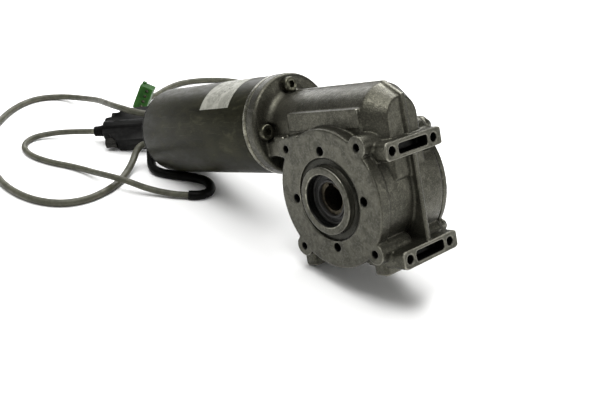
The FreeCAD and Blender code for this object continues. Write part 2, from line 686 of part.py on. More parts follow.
def encoder_disc():
    disc = ring_x(-187.4, -186.6, 3, 15)
    hub = ring_x(-189.4, -185.4, 3, 6)
    windows = []
    for k in range(24):
        window = box(-188, -186, 11.6, 13.8, -0.6, 0.6)
        window.rotate(Vector(0, 0, 0), Vector(1, 0, 0), 15 * k)
        window.translate(Vector(0, 0, CENTRE))
        windows.append(window)
    return disc.fuse(hub).cut(windows)


def encoder_board():
    board = ring_x(-191.2, -189.8, 7.5, 25)
    sensor = box(-190.5, -185.6, 11, 18, CENTRE - 3.5, CENTRE + 3.5)
    slit = box(-188.4, -185.7, 10, 16.2, CENTRE - 4, CENTRE + 4)
    return board.fuse(sensor.cut(slit))


GLAND_PLACES = {"power": (-3.0, 42.0), "encoder": (-16.0, 31.0)}


def rear_end_cap():
    rim = cyl_x(CAP_REAR, TUBE_REAR, CAP_R)
    edge = [e for e in rim.Edges if isinstance(e.Curve, Part.Circle) and e.Curve.Center.x < CAP_REAR + 0.1]
    rim = rim.makeFillet(CAP_ROUND, edge)
    spigot = ring_x(TUBE_REAR, -186, 26.5, TUBE_R - TUBE_WALL)
    hollow = cyl_x(TUBE_REAR - 1.3, TUBE_REAR + 1, 26.5)
    body = rim.fuse(spigot).cut(hollow)
    for y, z in GLAND_PLACES.values():
        body = body.cut(cyl_x(CAP_REAR - 1, TUBE_REAR, 4.0, y, z))
    return body


def cord_gland(name, cord_d):
    """Tapered rubber gland through the rear cap; its tip is where the cord leaves."""
    y, z = GLAND_PLACES[name]
    tip = CAP_REAR - GLAND_LENGTH
    collar = cyl_x(CAP_REAR - 1.6, CAP_REAR, 5.6, y, z)
    barrel = cyl_x(CAP_REAR - 0.1, TUBE_REAR, 4.0, y, z)
    inner_lip = cyl_x(TUBE_REAR - 1.3, TUBE_REAR, 4.8, y, z)
    nose = Part.makeCone(cord_d / 2 + 0.7, 4.4, GLAND_LENGTH, Vector(tip, y, z), Vector(1, 0, 0))
    return collar.fuse([barrel, inner_lip, nose])


def rating_label():
    """Thin paper label wrapped over the top of the tube."""
    x0 = -116.0
    x1 = -83.0
    thickness = 0.15
    band = ring_x(x0, x1, TUBE_R, TUBE_R + thickness)
    reach = 45
    first = math.radians(33)
    last = math.radians(118)
    wedge = [Vector(x0 - 1, 0, CENTRE)]
    for a in (first, math.radians(75), last):
        wedge.append(Vector(x0 - 1, -reach * math.cos(a), CENTRE + reach * math.sin(a)))
    return band.common(Part.Face(Part.makePolygon(wedge + wedge[:1])).extrude(Vector(x1 - x0 + 2, 0, 0)))


# ---------------------------------------------------------------- cords, drawn in the leaned frame
# Each route point is (x, y, height above the bench).
POWER_ROUTE = [
    (-213, -3.5, 25),
    (-220, -5.5, 20),
    (-220, -11.5, 12),
    (-212.5, -18, 5.5),
    (-201, -24, 3.5),
    (-189, -24.5, 3.5),
    (-177.5, -18.5, 3.5),
    (-166, -9.5, 3.5),
    (-154, -4, 3.5),
    (-142.5, -7.5, 3.5),
    (-136, -14.5, 3.5),
    (-136.5, -22, 3.5),
    (-142.5, -29, 3.5),
    (-151, -37, 3.5),
    (-165, -47, 4.8),
    (-176.5, -58.5, 10.8),
    (-192.5, -64, 10.2),
    (-213, -62.5, 4.5),
    (-237, -68, 2.4),
    (-256, -79, 2.4),
    (-277, -85, 2.4),
    (-297, -82, 2.4),
    (-310, -69, 2.6),
    (-305, -52, 4.2),
    (-291, -40, 7.2),
]
SLEEVE_ENDS_AFTER = 12     # the sleeve ends half way along the run after this route point

ENCODER_ROUTE = [
    (-208, -16, 17.2),
    (-214, -17.2, 16.4),
    (-217.5, -20.5, 14.6),
    (-216, -26, 11.5),
    (-210, -32, 8),
    (-201.5, -42.5, 4.4),
    (-192.5, -54.5, 2.6),
    (-184, -70, 2.6),
    (-180, -89, 2.6),
    (-186, -106, 2.6),
    (-204, -118, 2.6),
    (-230, -123, 2.6),
    (-257, -121, 2.6),
    (-288, -114, 2.6),
    (-320, -101, 2.6),
    (-352, -82, 2.6),
    (-384, -52, 2.6),
    (-397, -24, 2.6),
    (-387, -2, 2.8),
    (-358, 4, 8),
    (-322, 1, 17),
    (-290, -7.8, 25),
    (-263, -13, 31),
    (-242.5, -8.5, 31.4),
    (-232.5, 6, 29),
    (-237, 25, 22),
    (-246, 48, 12.5),
    (-246, 77, 4),
    (-238, 107, 2.6),
    (-243.8, 134, 2.6),
    (-265.8, 154, 2.6),
    (-297.8, 164, 2.6),
    (-331.8, 158, 2.6),
    (-350.8, 136, 2.6),
    (-357.8, 111, 2.6),
    (-351, 90, 2.8),
    (-341.5, 75, 3.2),
    (-333.5, 62.5, 4.4),
]

PLUG_CORD_END = (-274.5, -29.0, 9.9)
PLUG_HEADING = 44.0        # degrees from +X, seen from above
PLUG_PITCH = 8.5           # nose up
PLUG_ROLL = 24.0           # far wing up

TERMINAL_FOOT = (-313.8, 35.3, 3.6)
TERMINAL_UP = (0.185, 0.324, 0.926)
TERMINAL_ACROSS = (0.68, 0.73, 0.0)


def on_bench(point):
    return Vector(point[0], point[1], point[2] + BENCH_Z)


def cord_edges(points, name):
    """Straight runs joined by tangent arcs as large as their runs allow: run, arc, run, arc, run."""
    edges = []
    start = points[0]
    radii = []
    for before, corner, after in zip(points, points[1:], points[2:]):
        run_in = corner - before
        run_out = after - corner
        cut = 0.45 * min(run_in.Length, run_out.Length)
        radius = cut / math.tan(run_in.getAngle(run_out) / 2)
        radii.append(round(radius))
        run_in.normalize()
        run_out.normalize()
        first = corner - run_in * cut
        last = corner + run_out * cut
        bisector = run_out - run_in
        bisector.normalize()
        middle = corner + bisector * (math.hypot(radius, cut) - radius)
        edges.append(Part.LineSegment(start, first).toShape())
        edges.append(Part.Arc(first, middle, last).toShape())
        start = last
    edges.append(Part.LineSegment(start, points[-1]).toShape())
    print(name, "length", round(sum(e.Length for e in edges)), "radii", radii)
    return edges


def cord_tube(edges, diameter, name):
    path = Part.Wire(edges)
    start = edges[0].Vertexes[0].Point
    section = Part.Wire(Part.makeCircle(diameter / 2, start, edges[0].tangentAt(edges[0].FirstParameter)))
    tube = path.makePipeShell([section], True, False)
    expected = path.Length * math.pi * diameter ** 2 / 4
    ratio = tube.Volume / expected
    print(name, "length", round(path.Length, 1), "volume over section times length", round(ratio, 4))
    return tube


def split_run(edges, run):
    """Two lists of edges, parted at the middle of a straight run."""
    start, end = [v.Point for v in edges[2 * run].Vertexes]
    middle = (start + end) * 0.5
    before = edges[:2 * run] + [Part.LineSegment(start, middle).toShape()]
    after = [Part.LineSegment(middle, end).toShape()] + edges[2 * run + 1:]
    return before, after


def local_frame(forward, side_hint):
    """Three unit vectors: forward, a side near the hint, and the third that completes them."""
    first = Vector(*forward)
    first.normalize()
    hint = Vector(*side_hint)
    second = hint - first * hint.dot(first)
    second.normalize()
    return first, second, first.cross(second)


def put(shape, origin, frame):
    """Move a shape drawn on X, Y, Z onto a local frame at an origin."""
    a, b, c = frame
    matrix = FreeCAD.Matrix(a.x, b.x, c.x, origin.x,
                            a.y, b.y, c.y, origin.y,
                            a.z, b.z, c.z, origin.z,
                            0, 0, 0, 1)
    moved = shape.copy()
    moved.Placement = FreeCAD.Placement(matrix).multiply(shape.Placement)
    return moved


def plug_frame():
    heading = math.radians(PLUG_HEADING)
    pitch = math.radians(PLUG_PITCH)
    roll = math.radians(PLUG_ROLL)
    level = math.cos(pitch)
    forward = Vector(math.cos(heading) * level, math.sin(heading) * level, math.sin(pitch))
    level_side = Vector(-math.sin(heading), math.cos(heading), 0)
    level_up = forward.cross(level_side)
    side = level_side * math.cos(roll) + level_up * math.sin(roll)
    return forward, side, forward.cross(side)


def plug_shells():
    """Two half shells, drawn with the cord along X and the wings along Y."""
    outline = [(9, -8.6), (15, -9.6), (23, -18.5), (46, -18.5), (46, 18.5), (23, 18.5), (15, 9.6), (9, 8.6)]
    corners = [Vector(x, y, -6) for x, y in outline]
    slab = Part.Face(Part.makePolygon(corners + corners[:1])).extrude(Vector(0, 0, 12))
    vertical = [e for e in slab.Edges if abs(e.tangentAt(e.FirstParameter).z) > 0.99 and e.Vertexes[0].X < 30]
    slab = slab.makeFillet(2.0, vertical).Solids[0]
    ridge = Part.makeCylinder(7.8, 37, Vector(9, 0, 0), Vector(1, 0, 0))
    body = slab.fuse(ridge).Solids[0]
    cuts = [
        Part.makeCylinder(3.4, 12, Vector(8, 0, 0), Vector(1, 0, 0)),
        Part.makeBox(22, 18, 9, Vector(20, -9, -4.5)),
        Part.makeBox(6, 25, 9, Vector(41, -12.5, -4.5)),
    ]
    for y in (-14.6, 14.6):
        cuts.append(Part.makeCylinder(1.7, 40, Vector(14, y, 0), Vector(1, 0, 0)))
        cuts.append(Part.makeCylinder(4.6, 11, Vector(10.8, y, 0), Vector(1, 0, 0)))
    upper = body.common(Part.makeBox(60, 60, 20, Vector(0, -30, 0))).Solids[0]
    lower = body.common(Part.makeBox(60, 60, 20, Vector(0, -30, -20))).Solids[0]
    for cut in cuts:
        upper = upper.cut(cut)
        lower = lower.cut(cut)
    return upper, lower


def plug_thumbscrews():
    screws = []
    for y in (-14.6, 14.6):
        head = Part.makeCylinder(4.1, 9, Vector(12.5, y, 0), Vector(1, 0, 0))
        flutes = []
        for k in range(14):
            a = 2 * math.pi * k / 14
            at = Vector(12, y + 4.3 * math.cos(a), 4.3 * math.sin(a))
            flutes.append(Part.makeCylinder(0.5, 10, at, Vector(1, 0, 0)))
        shank = Part.makeCylinder(1.5, 30, Vector(21, y, 0), Vector(1, 0, 0))
        screws.append(head.cut(flutes).fuse(shank))
    return group(screws)


def plug_boot():
    boot = Part.makeCone(4.0, 4.9, 9, Vector(0, 0, 0), Vector(1, 0, 0))
    tail = Part.makeCylinder(3.4, 7, Vector(9, 0, 0), Vector(1, 0, 0))
    grooves = []
    for x in (2.2, 4.4, 6.6):
        ring = Part.makeCylinder(6, 0.9, Vector(x, 0, 0), Vector(1, 0, 0))
        grooves.append(ring.cut(Part.makeCylinder(3.6, 2, Vector(x - 0.5, 0, 0), Vector(1, 0, 0))))
    return boot.fuse(tail).cut(grooves)


PLUG_CONTACT_PLACES = [(-10, 1.5), (-5, 1.5), (0, 1.5), (5, 1.5), (10, 1.5),
                       (-7.5, -1.7), (-2.5, -1.7), (2.5, -1.7), (7.5, -1.7)]


def plug_insert():
    core = Part.makeBox(6, 25, 9, Vector(41, -12.5, -4.5))
    face = Part.makeBox(4.5, 24, 8, Vector(47, -12, -4))
    front_edges = [e for e in face.Edges if abs(e.tangentAt(e.FirstParameter).x) > 0.99]
    body = core.fuse(face.makeFillet(2.5, front_edges))
    holes = [Part.makeCylinder(0.7, 11, Vector(41, y, z), Vector(1, 0, 0)) for y, z in PLUG_CONTACT_PLACES]
    return body.cut(holes)


def plug_contacts():
    return group([Part.makeCylinder(0.7, 9, Vector(41, y, z), Vector(1, 0, 0))
                  for y, z in PLUG_CONTACT_PLACES])


TERMINAL_POLES = 4
TERMINAL_PITCH = 5.08
TERMINAL_LENGTH = 21.6
TERMINAL_WIDTH = 12.0
TERMINAL_DEPTH = 14.0
SHEATH_END_UP = 5.0        # above the block's foot, where the outer sheath is stripped


def terminal_frame():
    """Length up the block, width across it, and depth away from the screw side."""
    up, across, back = local_frame(TERMINAL_UP, TERMINAL_ACROSS)
    return up, across, back


def pole_stations():
    first = (TERMINAL_LENGTH - (TERMINAL_POLES - 1) * TERMINAL_PITCH) / 2
    return [first + k * TERMINAL_PITCH for k in range(TERMINAL_POLES)]


def terminal_body():
    half = TERMINAL_WIDTH / 2
    block = Part.makeBox(TERMINAL_LENGTH, TERMINAL_WIDTH, TERMINAL_DEPTH, Vector(0, -half, 0))
    shoulder = Part.makeBox(TERMINAL_LENGTH + 2, 3.2, 5, Vector(-1, -half, TERMINAL_DEPTH - 5))
    cuts = []
    for s in pole_stations():
        cuts.append(Part.makeCylinder(1.5, 5, Vector(s, 1.2, 0), Vector(0, 0, 1)))
        cuts.append(Part.makeBox(3.2, 4.2, 6, Vector(s - 1.6, -1.6, TERMINAL_DEPTH - 6)))
        cuts.append(Part.makeBox(2.8, 2.6, 5, Vector(s - 1.4, -half - 0.1, 2.0)))
    return block.fuse(shoulder).cut(cuts)


def terminal_screws():
    screws = []
    for s in pole_stations():
        head = Part.makeCylinder(1.45, 4.2, Vector(s, 1.2, 0.8), Vector(0, 0, 1))
        slot = Part.makeBox(4, 0.5, 0.8, Vector(s - 2, 0.95, 0.6))
        screws.append(head.cut(slot))
    return group(screws)


def straight_core(start, end, r):
    way = end - start
    return Part.makeCylinder(r, way.Length, start, way)


def encoder_cores(sheath_end):
    """Four stripped cores from the sheath's end into the back of the terminal block."""
    up, across, back = terminal_frame()
    foot = on_bench(TERMINAL_FOOT)
    cores = []
    for k, s in enumerate(pole_stations()):
        into = foot + up * s + across * 0.5 + back * (TERMINAL_DEPTH - 2.5)
        spread = (k - 1.5) * 1.15
        cores.append(straight_core(sheath_end + up * spread, into, 0.5))
    return group(cores)


def cords():
    """All nodes of the two free cords, in the leaned frame."""
    power_exit = lean_point(CAP_REAR - GLAND_LENGTH, *GLAND_PLACES["power"])
    encoder_exit = lean_point(CAP_REAR - GLAND_LENGTH, *GLAND_PLACES["encoder"])
    print("power exit", power_exit, "encoder exit", encoder_exit, "bench", BENCH_Z)

    frame = plug_frame()
    plug_origin = on_bench(PLUG_CORD_END)
    power = cord_edges([power_exit] + [on_bench(p) for p in POWER_ROUTE] + [plug_origin], "power route")
    sleeved, bare = split_run(power, SLEEVE_ENDS_AFTER)

    up, across, back = terminal_frame()
    sheath_end = on_bench(TERMINAL_FOOT) + up * SHEATH_END_UP + across * 0.5 + back * (TERMINAL_DEPTH + 9)
    encoder_points = [encoder_exit] + [on_bench(p) for p in ENCODER_ROUTE] + [sheath_end]
    encoder = cord_edges(encoder_points, "encoder route")
    print("sheath end", sheath_end, "above bench", sheath_end.z - BENCH_Z)

    upper, lower = plug_shells()
    plug = {
        "plug_boot": plug_boot(),
        "plug_shell_upper": upper,
        "plug_shell_lower": lower,
        "plug_thumbscrews": plug_thumbscrews(),
        "plug_insert": plug_insert(),
        "plug_contacts": plug_contacts(),
    }
    nodes = {name: put(shape, plug_origin, frame) for name, shape in plug.items()}
    nodes["power_cord_sleeve"] = cord_tube(sleeved, SLEEVE_D, "power_cord_sleeve")
    nodes["power_cord"] = cord_tube(bare, POWER_D, "power_cord")
    nodes["encoder_cord"] = cord_tube(encoder, ENCODER_D, "encoder_cord")
    nodes["encoder_cord_cores"] = encoder_cores(sheath_end)
    foot = on_bench(TERMINAL_FOOT)
    nodes["terminal_plug_body"] = put(terminal_body(), foot, terminal_frame())
    nodes["terminal_plug_screws"] = put(terminal_screws(), foot, terminal_frame())
    return nodes


# ---------------------------------------------------------------- everything, by node name
def motor_flange_screws():
    return group([cap_screw((MOTOR_FLANGE_FRONT, y, z), (1, 0, 0), MOTOR_SCREW_R, MOTOR_SCREW_HEAD_R,
                            MOTOR_SCREW_HEAD, MOTOR_SCREW_LENGTH, 1.2) for y, z in motor_screw_places()])


def cover_screws():
    return group([cap_screw((x, COVER_BACK, z), (0, 1, 0), COVER_TAP_R, 3.5, 4.0, 14)
                  for x, z in corner_places(COVER_EAR_AT)])


def machine_nodes():
    nodes = {
        "gear_housing": gear_housing(),
        "rear_cover": rear_cover(),
        "cover_gasket": cover_gasket(),
        "cover_screws": cover_screws(),
        "front_oil_seal": oil_seal(-26.6, -21.8),
        "rear_oil_seal": oil_seal(26.6, 21.8),
        "worm_wheel": worm_wheel(),
        "hollow_output_shaft": hollow_output_shaft(),
        "wheel_key": wheel_key(),
        "output_shaft_circlips": output_shaft_circlips(),
        "worm": worm(),
        "worm_bearing_circlip": worm_bearing_circlip(),
        "motor_front_shield": motor_front_shield(),
        "motor_flange_screws": motor_flange_screws(),
        "motor_tube": motor_tube(),
        "field_magnets": field_magnets(),
        "armature_core": armature_core(),
        "armature_windings": armature_windings(),
        "commutator": commutator(),
        "rotor_shaft": rotor_shaft(),
        "shaft_coupling_key": shaft_coupling_key(),
        "rear_bearing_shield": rear_bearing_shield(),
        "through_bolts": through_bolts(),
        "brush_plate": brush_plate(),
        "brush_holders": brush_holders(),
        "carbon_brushes": carbon_brushes(),
        "brush_springs": brush_springs(),
        "encoder_disc": encoder_disc(),
        "encoder_board": encoder_board(),
        "rear_end_cap": rear_end_cap(),
        "power_cord_gland": cord_gland("power", SLEEVE_D),
        "encoder_cord_gland": cord_gland("encoder", ENCODER_D),
        "rating_label": rating_label(),
    }
    worm_axis = (0.0, CENTRE)
    wheel_size = (WHEEL_BEARING_WIDTH, SHAFT_R, WHEEL_BEARING_R)
    bearings = {
        "front_wheel_bearing": ("y", FRONT_WHEEL_BEARING, *wheel_size, (0.0, 0.0)),
        "rear_wheel_bearing": ("y", REAR_WHEEL_BEARING, *wheel_size, (0.0, 0.0)),
        "worm_drive_bearing": ("x", WORM_DRIVE_BEARING, SHAFT_BEARING_WIDTH, 6, DRIVE_BEARING_R, worm_axis),
        "worm_end_bearing": ("x", WORM_END_BEARING, 6, 5, WORM_BORE_R, worm_axis),
        "motor_front_bearing": ("x", MOTOR_FRONT_BEARING, SHAFT_BEARING_WIDTH, 6, DRIVE_BEARING_R, worm_axis),
        "motor_rear_bearing": ("x", MOTOR_REAR_BEARING, SHAFT_BEARING_WIDTH, 5, 13, worm_axis),
    }
    for name, spec in bearings.items():
        nodes[name + "_outer"], nodes[name + "_inner"] = bearing(*spec)
    return nodes


def main():
    os.makedirs("parts", exist_ok=True)
    nodes = machine_nodes()
    for shape in nodes.values():
        shape.rotate(Vector(0, 0, 0), Vector(0, 1, 0), -math.degrees(LEAN))
    nodes.update(cords())
    for name, shape in nodes.items():
        shape.exportStep(f"parts/{name}.step")
        print(name, "solids", len(shape.Solids), "valid", shape.isValid(), "volume", round(shape.Volume, 1))
    print("lean", math.degrees(LEAN), "nodes", len(nodes))


main()
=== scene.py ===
"""Geared dc motor: the looks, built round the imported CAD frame. Lengths are in metres.

Millimetre numbers in the machine frame (X along the motor, Y along the output axis, Z from the output
axis up to the motor axis) are turned into the row frame by machine_point().
"""
import math

import bmesh
import bpy
from mathutils import Matrix, Vector


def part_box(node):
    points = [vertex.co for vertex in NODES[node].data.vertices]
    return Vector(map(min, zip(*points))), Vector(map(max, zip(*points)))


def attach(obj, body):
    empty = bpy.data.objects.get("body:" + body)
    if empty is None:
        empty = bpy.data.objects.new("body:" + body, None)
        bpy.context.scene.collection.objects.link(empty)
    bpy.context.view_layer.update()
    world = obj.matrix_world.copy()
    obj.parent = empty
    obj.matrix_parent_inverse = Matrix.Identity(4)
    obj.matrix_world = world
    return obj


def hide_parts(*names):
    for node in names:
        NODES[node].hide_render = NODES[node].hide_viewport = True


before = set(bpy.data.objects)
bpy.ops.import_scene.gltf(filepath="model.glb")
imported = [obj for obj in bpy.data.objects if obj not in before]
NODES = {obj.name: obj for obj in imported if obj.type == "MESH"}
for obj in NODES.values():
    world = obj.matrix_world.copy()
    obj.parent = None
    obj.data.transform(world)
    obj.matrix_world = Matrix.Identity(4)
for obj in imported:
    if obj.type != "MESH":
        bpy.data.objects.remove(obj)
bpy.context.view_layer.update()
SCENE = bpy.context.scene
MM = 0.001

# ---------------------------------------------------------------- frame of the machine
LEAN = math.radians(19.435041543868902)
BENCH_Z = -55.84520887962182          # mm
MOTOR_AXIS_Z = 40.0
CAP_REAR = -195.0
LEAN_TURN = Matrix.Rotation(-LEAN, 4, "Y")      # machine frame to row frame

# places on the casting, in the machine frame, that its material picks out
FLANGE_FACE_Y = -28.5
SUNK_RING_Y = -26.5
SUNK_RING_R = 22.2
COLLAR_Y = -31.7
COLLAR_MOUTH_Y = -31.4
COLLAR_EDGE_R = 20.5
BORE_EDGE_R = 15.6
BORE_START_Y = -20.0
FOOT_FACE = 45.0                       # both pairs of feet, from the output axis
FOOT_HALF_WIDTH = 19.6
FOOT_ROWS = (25.2, -35.1)              # the middles of a pair's two bars
POCKET_HALF_HEIGHT = 3.1
POCKET_MIDDLE = 38.7
POCKET_HALF_DEPTH = 5.7
FLANGE_HOLE_CIRCLE_R = 28.3
FLANGE_HOLE_R = 2.75
EAR_HOLE_PLACE = 29.9                  # from the axis, along x and along z
EAR_HOLE_R = 2.4
HOLE_MIDDLE_Y = -21.0
HOLE_HALF_DEPTH = 7.1


def machine_point(x, y, z):
    return LEAN_TURN @ (Vector((x, y, z)) * MM)


def on_bench(x, y, height):
    """A row-frame point in metres from x, y and the height above the bench, in millimetres."""
    return Vector((x, y, height + BENCH_Z)) * MM


# ---------------------------------------------------------------- camera
CAMERA_AT = Vector((0.2875, -0.3139, 0.2013))
CAMERA_AZIMUTH = math.radians(47.4825)
CAMERA_ELEVATION = math.radians(26.5130)
CAMERA_ROLL = math.radians(2.2323)
CAMERA_LENS = 47.82


def make_camera():
    az = CAMERA_AZIMUTH
    el = CAMERA_ELEVATION
    back = Vector((math.sin(az) * math.cos(el), -math.cos(az) * math.cos(el), math.sin(el)))
    level_right = Vector((math.cos(az), math.sin(az), 0.0))
    level_up = back.cross(level_right)
    right = math.cos(CAMERA_ROLL) * level_right + math.sin(CAMERA_ROLL) * level_up
    up = back.cross(right)
    data = bpy.data.cameras.new("camera")
    data.lens = CAMERA_LENS
    data.sensor_width = 36.0
    data.clip_start = 0.01
    data.clip_end = 20.0
    camera = bpy.data.objects.new("camera", data)
    SCENE.collection.objects.link(camera)
    turn = Matrix((right, up, back)).transposed().to_4x4()
    camera.matrix_world = Matrix.Translation(CAMERA_AT) @ turn
    SCENE.camera = camera


make_camera()

# ---------------------------------------------------------------- cords
POWER_D = 4.6
SLEEVE_D = 6.8
ENCODER_D = 5.2
GLAND_LENGTH = 8.0
POWER_GLAND = (-3.0, 42.0)             # machine y and z
ENCODER_GLAND = (-16.0, 31.0)
POWER_EXIT = machine_point(CAP_REAR - GLAND_LENGTH, *POWER_GLAND)
ENCODER_EXIT = machine_point(CAP_REAR - GLAND_LENGTH, *ENCODER_GLAND)

POWER_ROUTE = [
    (-213, -3.5, 25),
    (-220, -5.5, 20),
    (-217, -12, 12),
    (-207.5, -18, 6.2),
    (-199, -23, 3.5),
    (-189, -24.5, 3.5),
    (-177.5, -18.5, 3.5),
    (-166, -9.5, 3.5),
    (-154, -4, 3.5),
    (-142.5, -7.5, 3.5),
    (-136, -14.5, 3.5),
    (-136.5, -22, 3.5),
    (-142.5, -29, 3.5),
    (-151, -37, 3.5),
    (-165, -47, 4.8),
    (-176.5, -58.5, 10.8),
    (-192.5, -64, 10.2),
    (-213, -62.5, 4.5),
    (-237, -68, 2.4),
    (-256, -79, 2.4),
    (-277, -85, 2.4),
    (-297, -82, 2.4),
    (-310, -69, 2.6),
    (-305, -52, 4.2),
    (-291, -40, 7.2),
]
PLUG_CORD_END = (-274.5, -29.0, 9.9)
SLEEVE_LENGTH = 0.1349

ENCODER_ROUTE = [
    (-208, -16, 17.2),
    (-214, -17.2, 16.4),
    (-217.5, -20.5, 14.6),
    (-216, -26, 11.5),
    (-210, -32, 8),
    (-201.5, -42.5, 4.4),
    (-192.5, -54.5, 2.6),
    (-184, -70, 2.6),
    (-180, -89, 2.6),
    (-186, -106, 2.6),
    (-204, -118, 2.6),
    (-230, -123, 2.6),
    (-257, -121, 2.6),
    (-288, -114, 2.6),
    (-320, -101, 2.6),
    (-352, -82, 2.6),
    (-384, -52, 2.6),
    (-397, -24, 2.6),
    (-387, -2, 2.8),
    (-358, 4, 8),
    (-322, 1, 17),
    (-290, -7.8, 25),
    (-263, -13, 31),
    (-242.5, -8.5, 31.4),
    (-232.5, 6, 29),
    (-237, 25, 22),
    (-246, 48, 12.5),
    (-246, 77, 4),
    (-238, 107, 2.6),
    (-243.8, 134, 2.6),
    (-265.8, 154, 2.6),
    (-297.8, 164, 2.6),
    (-331.8, 158, 2.6),
    (-350.8, 136, 2.6),
    (-357.8, 111, 2.6),
    (-351, 90, 2.8),
    (-341.5, 75, 3.2),
    (-333.5, 62.5, 4.4),
]
SHEATH_END = Vector((-329.302136, 52.862625, -49.902563)) * MM


def cord_curve(name, points, diameter):
    """A smooth round cord with these points as its control points.

    The bevel is one metre deep and each point's radius scales it, because Blender adds the points'
    radii to the curve's box.
    """
    curve = bpy.data.curves.new(name, "CURVE")
    curve.dimensions = "3D"
    curve.resolution_u = 12
    curve.bevel_depth = 1.0
    curve.bevel_resolution = 6
    curve.use_fill_caps = True
    spline = curve.splines.new("NURBS")
    spline.points.add(len(points) - 1)
    for control, point in zip(spline.points, points):
        control.co = (*point, 1.0)
        control.radius = diameter / 2
    spline.order_u = 3
    spline.use_endpoint_u = True
    piece = bpy.data.objects.new(name, curve)
    SCENE.collection.objects.link(piece)
    return piece


def line_of(piece):
    """The points of a cord's own line, in order."""
    bare = piece.data.copy()
    bare.bevel_depth = 0.0
    probe = bpy.data.objects.new("probe", bare)
    SCENE.collection.objects.link(probe)
    bpy.context.view_layer.update()
    mesh = bpy.data.meshes.new_from_object(probe.evaluated_get(bpy.context.evaluated_depsgraph_get()))
    points = [v.co.copy() for v in mesh.vertices]
    bpy.data.objects.remove(probe)
    bpy.data.curves.remove(bare)
    bpy.data.meshes.remove(mesh)
    return points


power_cord = cord_curve(
    "power_cord_sheath", [POWER_EXIT] + [on_bench(*p) for p in POWER_ROUTE + [PLUG_CORD_END]], POWER_D * MM)
encoder_cord = cord_curve(
    "encoder_cord_sheath", [ENCODER_EXIT] + [on_bench(*p) for p in ENCODER_ROUTE] + [SHEATH_END],
    ENCODER_D * MM)


# ---------------------------------------------------------------- mesh helpers
def resampled(points, step, length=None):
    """Points every step along a line, up to a length."""
    total = sum((b - a).length for a, b in zip(points, points[1:]))
    length = total if length is None else min(length, total)
    count = max(2, round(length / step))
    targets = [length * k / count for k in range(count + 1)]
    found = []
    run = 0.0
    k = 0
    for a, b in zip(points, points[1:]):
        piece = (b - a).length
        while k < len(targets) and targets[k] <= run + piece + 1e-9:
            share = 0.0 if piece < 1e-12 else (targets[k] - run) / piece
            found.append(a.lerp(b, min(1.0, max(0.0, share))))
            k += 1
        run += piece
    while len(found) < len(targets):
        found.append(points[-1].copy())
    return found


def add_piece(name, mesh, body, slot, *replaced):
    piece = bpy.data.objects.new(name, mesh)
    SCENE.collection.objects.link(piece)
    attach(piece, body)
    if replaced:
        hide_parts(*replaced)
    return piece


def hollow_tube(name, points, outer, inner, around=24):
    """A tube with a wall that follows points: outer and inner give the radii at a share along it."""
    mesh = bpy.data.meshes.new(name)
    made = bmesh.new()
    side = (points[1] - points[0]).orthogonal().normalized()
    rings = []
    for k, point in enumerate(points):
        before = points[max(0, k - 1)]
        after = points[min(len(points) - 1, k + 1)]
        way = (after - before).normalized()
        side = (side - way * side.dot(way)).normalized()
        other = way.cross(side)
        share = k / (len(points) - 1)
        pair = []
        for radius in (outer(share), inner(share)):
            ring = []
            for j in range(around):
                a = 2 * math.pi * j / around
                ring.append(made.verts.new(point + (side * math.cos(a) + other * math.sin(a)) * radius))
            pair.append(ring)
        rings.append(pair)
    for first, second in zip(rings, rings[1:]):
        for j in range(around):
            n = (j + 1) % around
            made.faces.new((first[0][j], first[0][n], second[0][n], second[0][j]))
            made.faces.new((first[1][n], first[1][j], second[1][j], second[1][n]))
    for ends, flip in ((rings[0], True), (rings[-1], False)):
        for j in range(around):
            n = (j + 1) % around
            corners = [ends[0][j], ends[0][n], ends[1][n], ends[1][j]]
            made.faces.new(corners[::-1] if flip else corners)
    bmesh.ops.recalc_face_normals(made, faces=made.faces)
    for face in made.faces:
        face.smooth = True
    made.to_mesh(mesh)
    made.free()
    return mesh


def mesh_after(source, name, build):
    """A new mesh from a copy of an object's mesh with modifiers applied, added by build(object)."""
    work = bpy.data.objects.new("work", source.copy())
    SCENE.collection.objects.link(work)
    build(work)
    bpy.context.view_layer.update()
    made = bpy.data.meshes.new_from_object(work.evaluated_get(bpy.context.evaluated_depsgraph_get()))
    made.name = name
    spent = work.data
    bpy.data.objects.remove(work)
    bpy.data.meshes.remove(spent)
    return made


def modifier(piece, kind, **settings):
    added = piece.modifiers.new(kind.lower(), kind)
    for key, value in settings.items():
        setattr(added, key, value)
    return added


def shade_by_angle(mesh, degrees):
    """Smooth faces with sharp edges where the surface turns by more than an angle."""
    limit = math.radians(degrees)
    made = bmesh.new()
    made.from_mesh(mesh)
    for face in made.faces:
        face.smooth = True
    for edge in made.edges:
        edge.smooth = not edge.is_manifold or edge.calc_face_angle(0.0) < limit
    made.to_mesh(mesh)
    made.free()


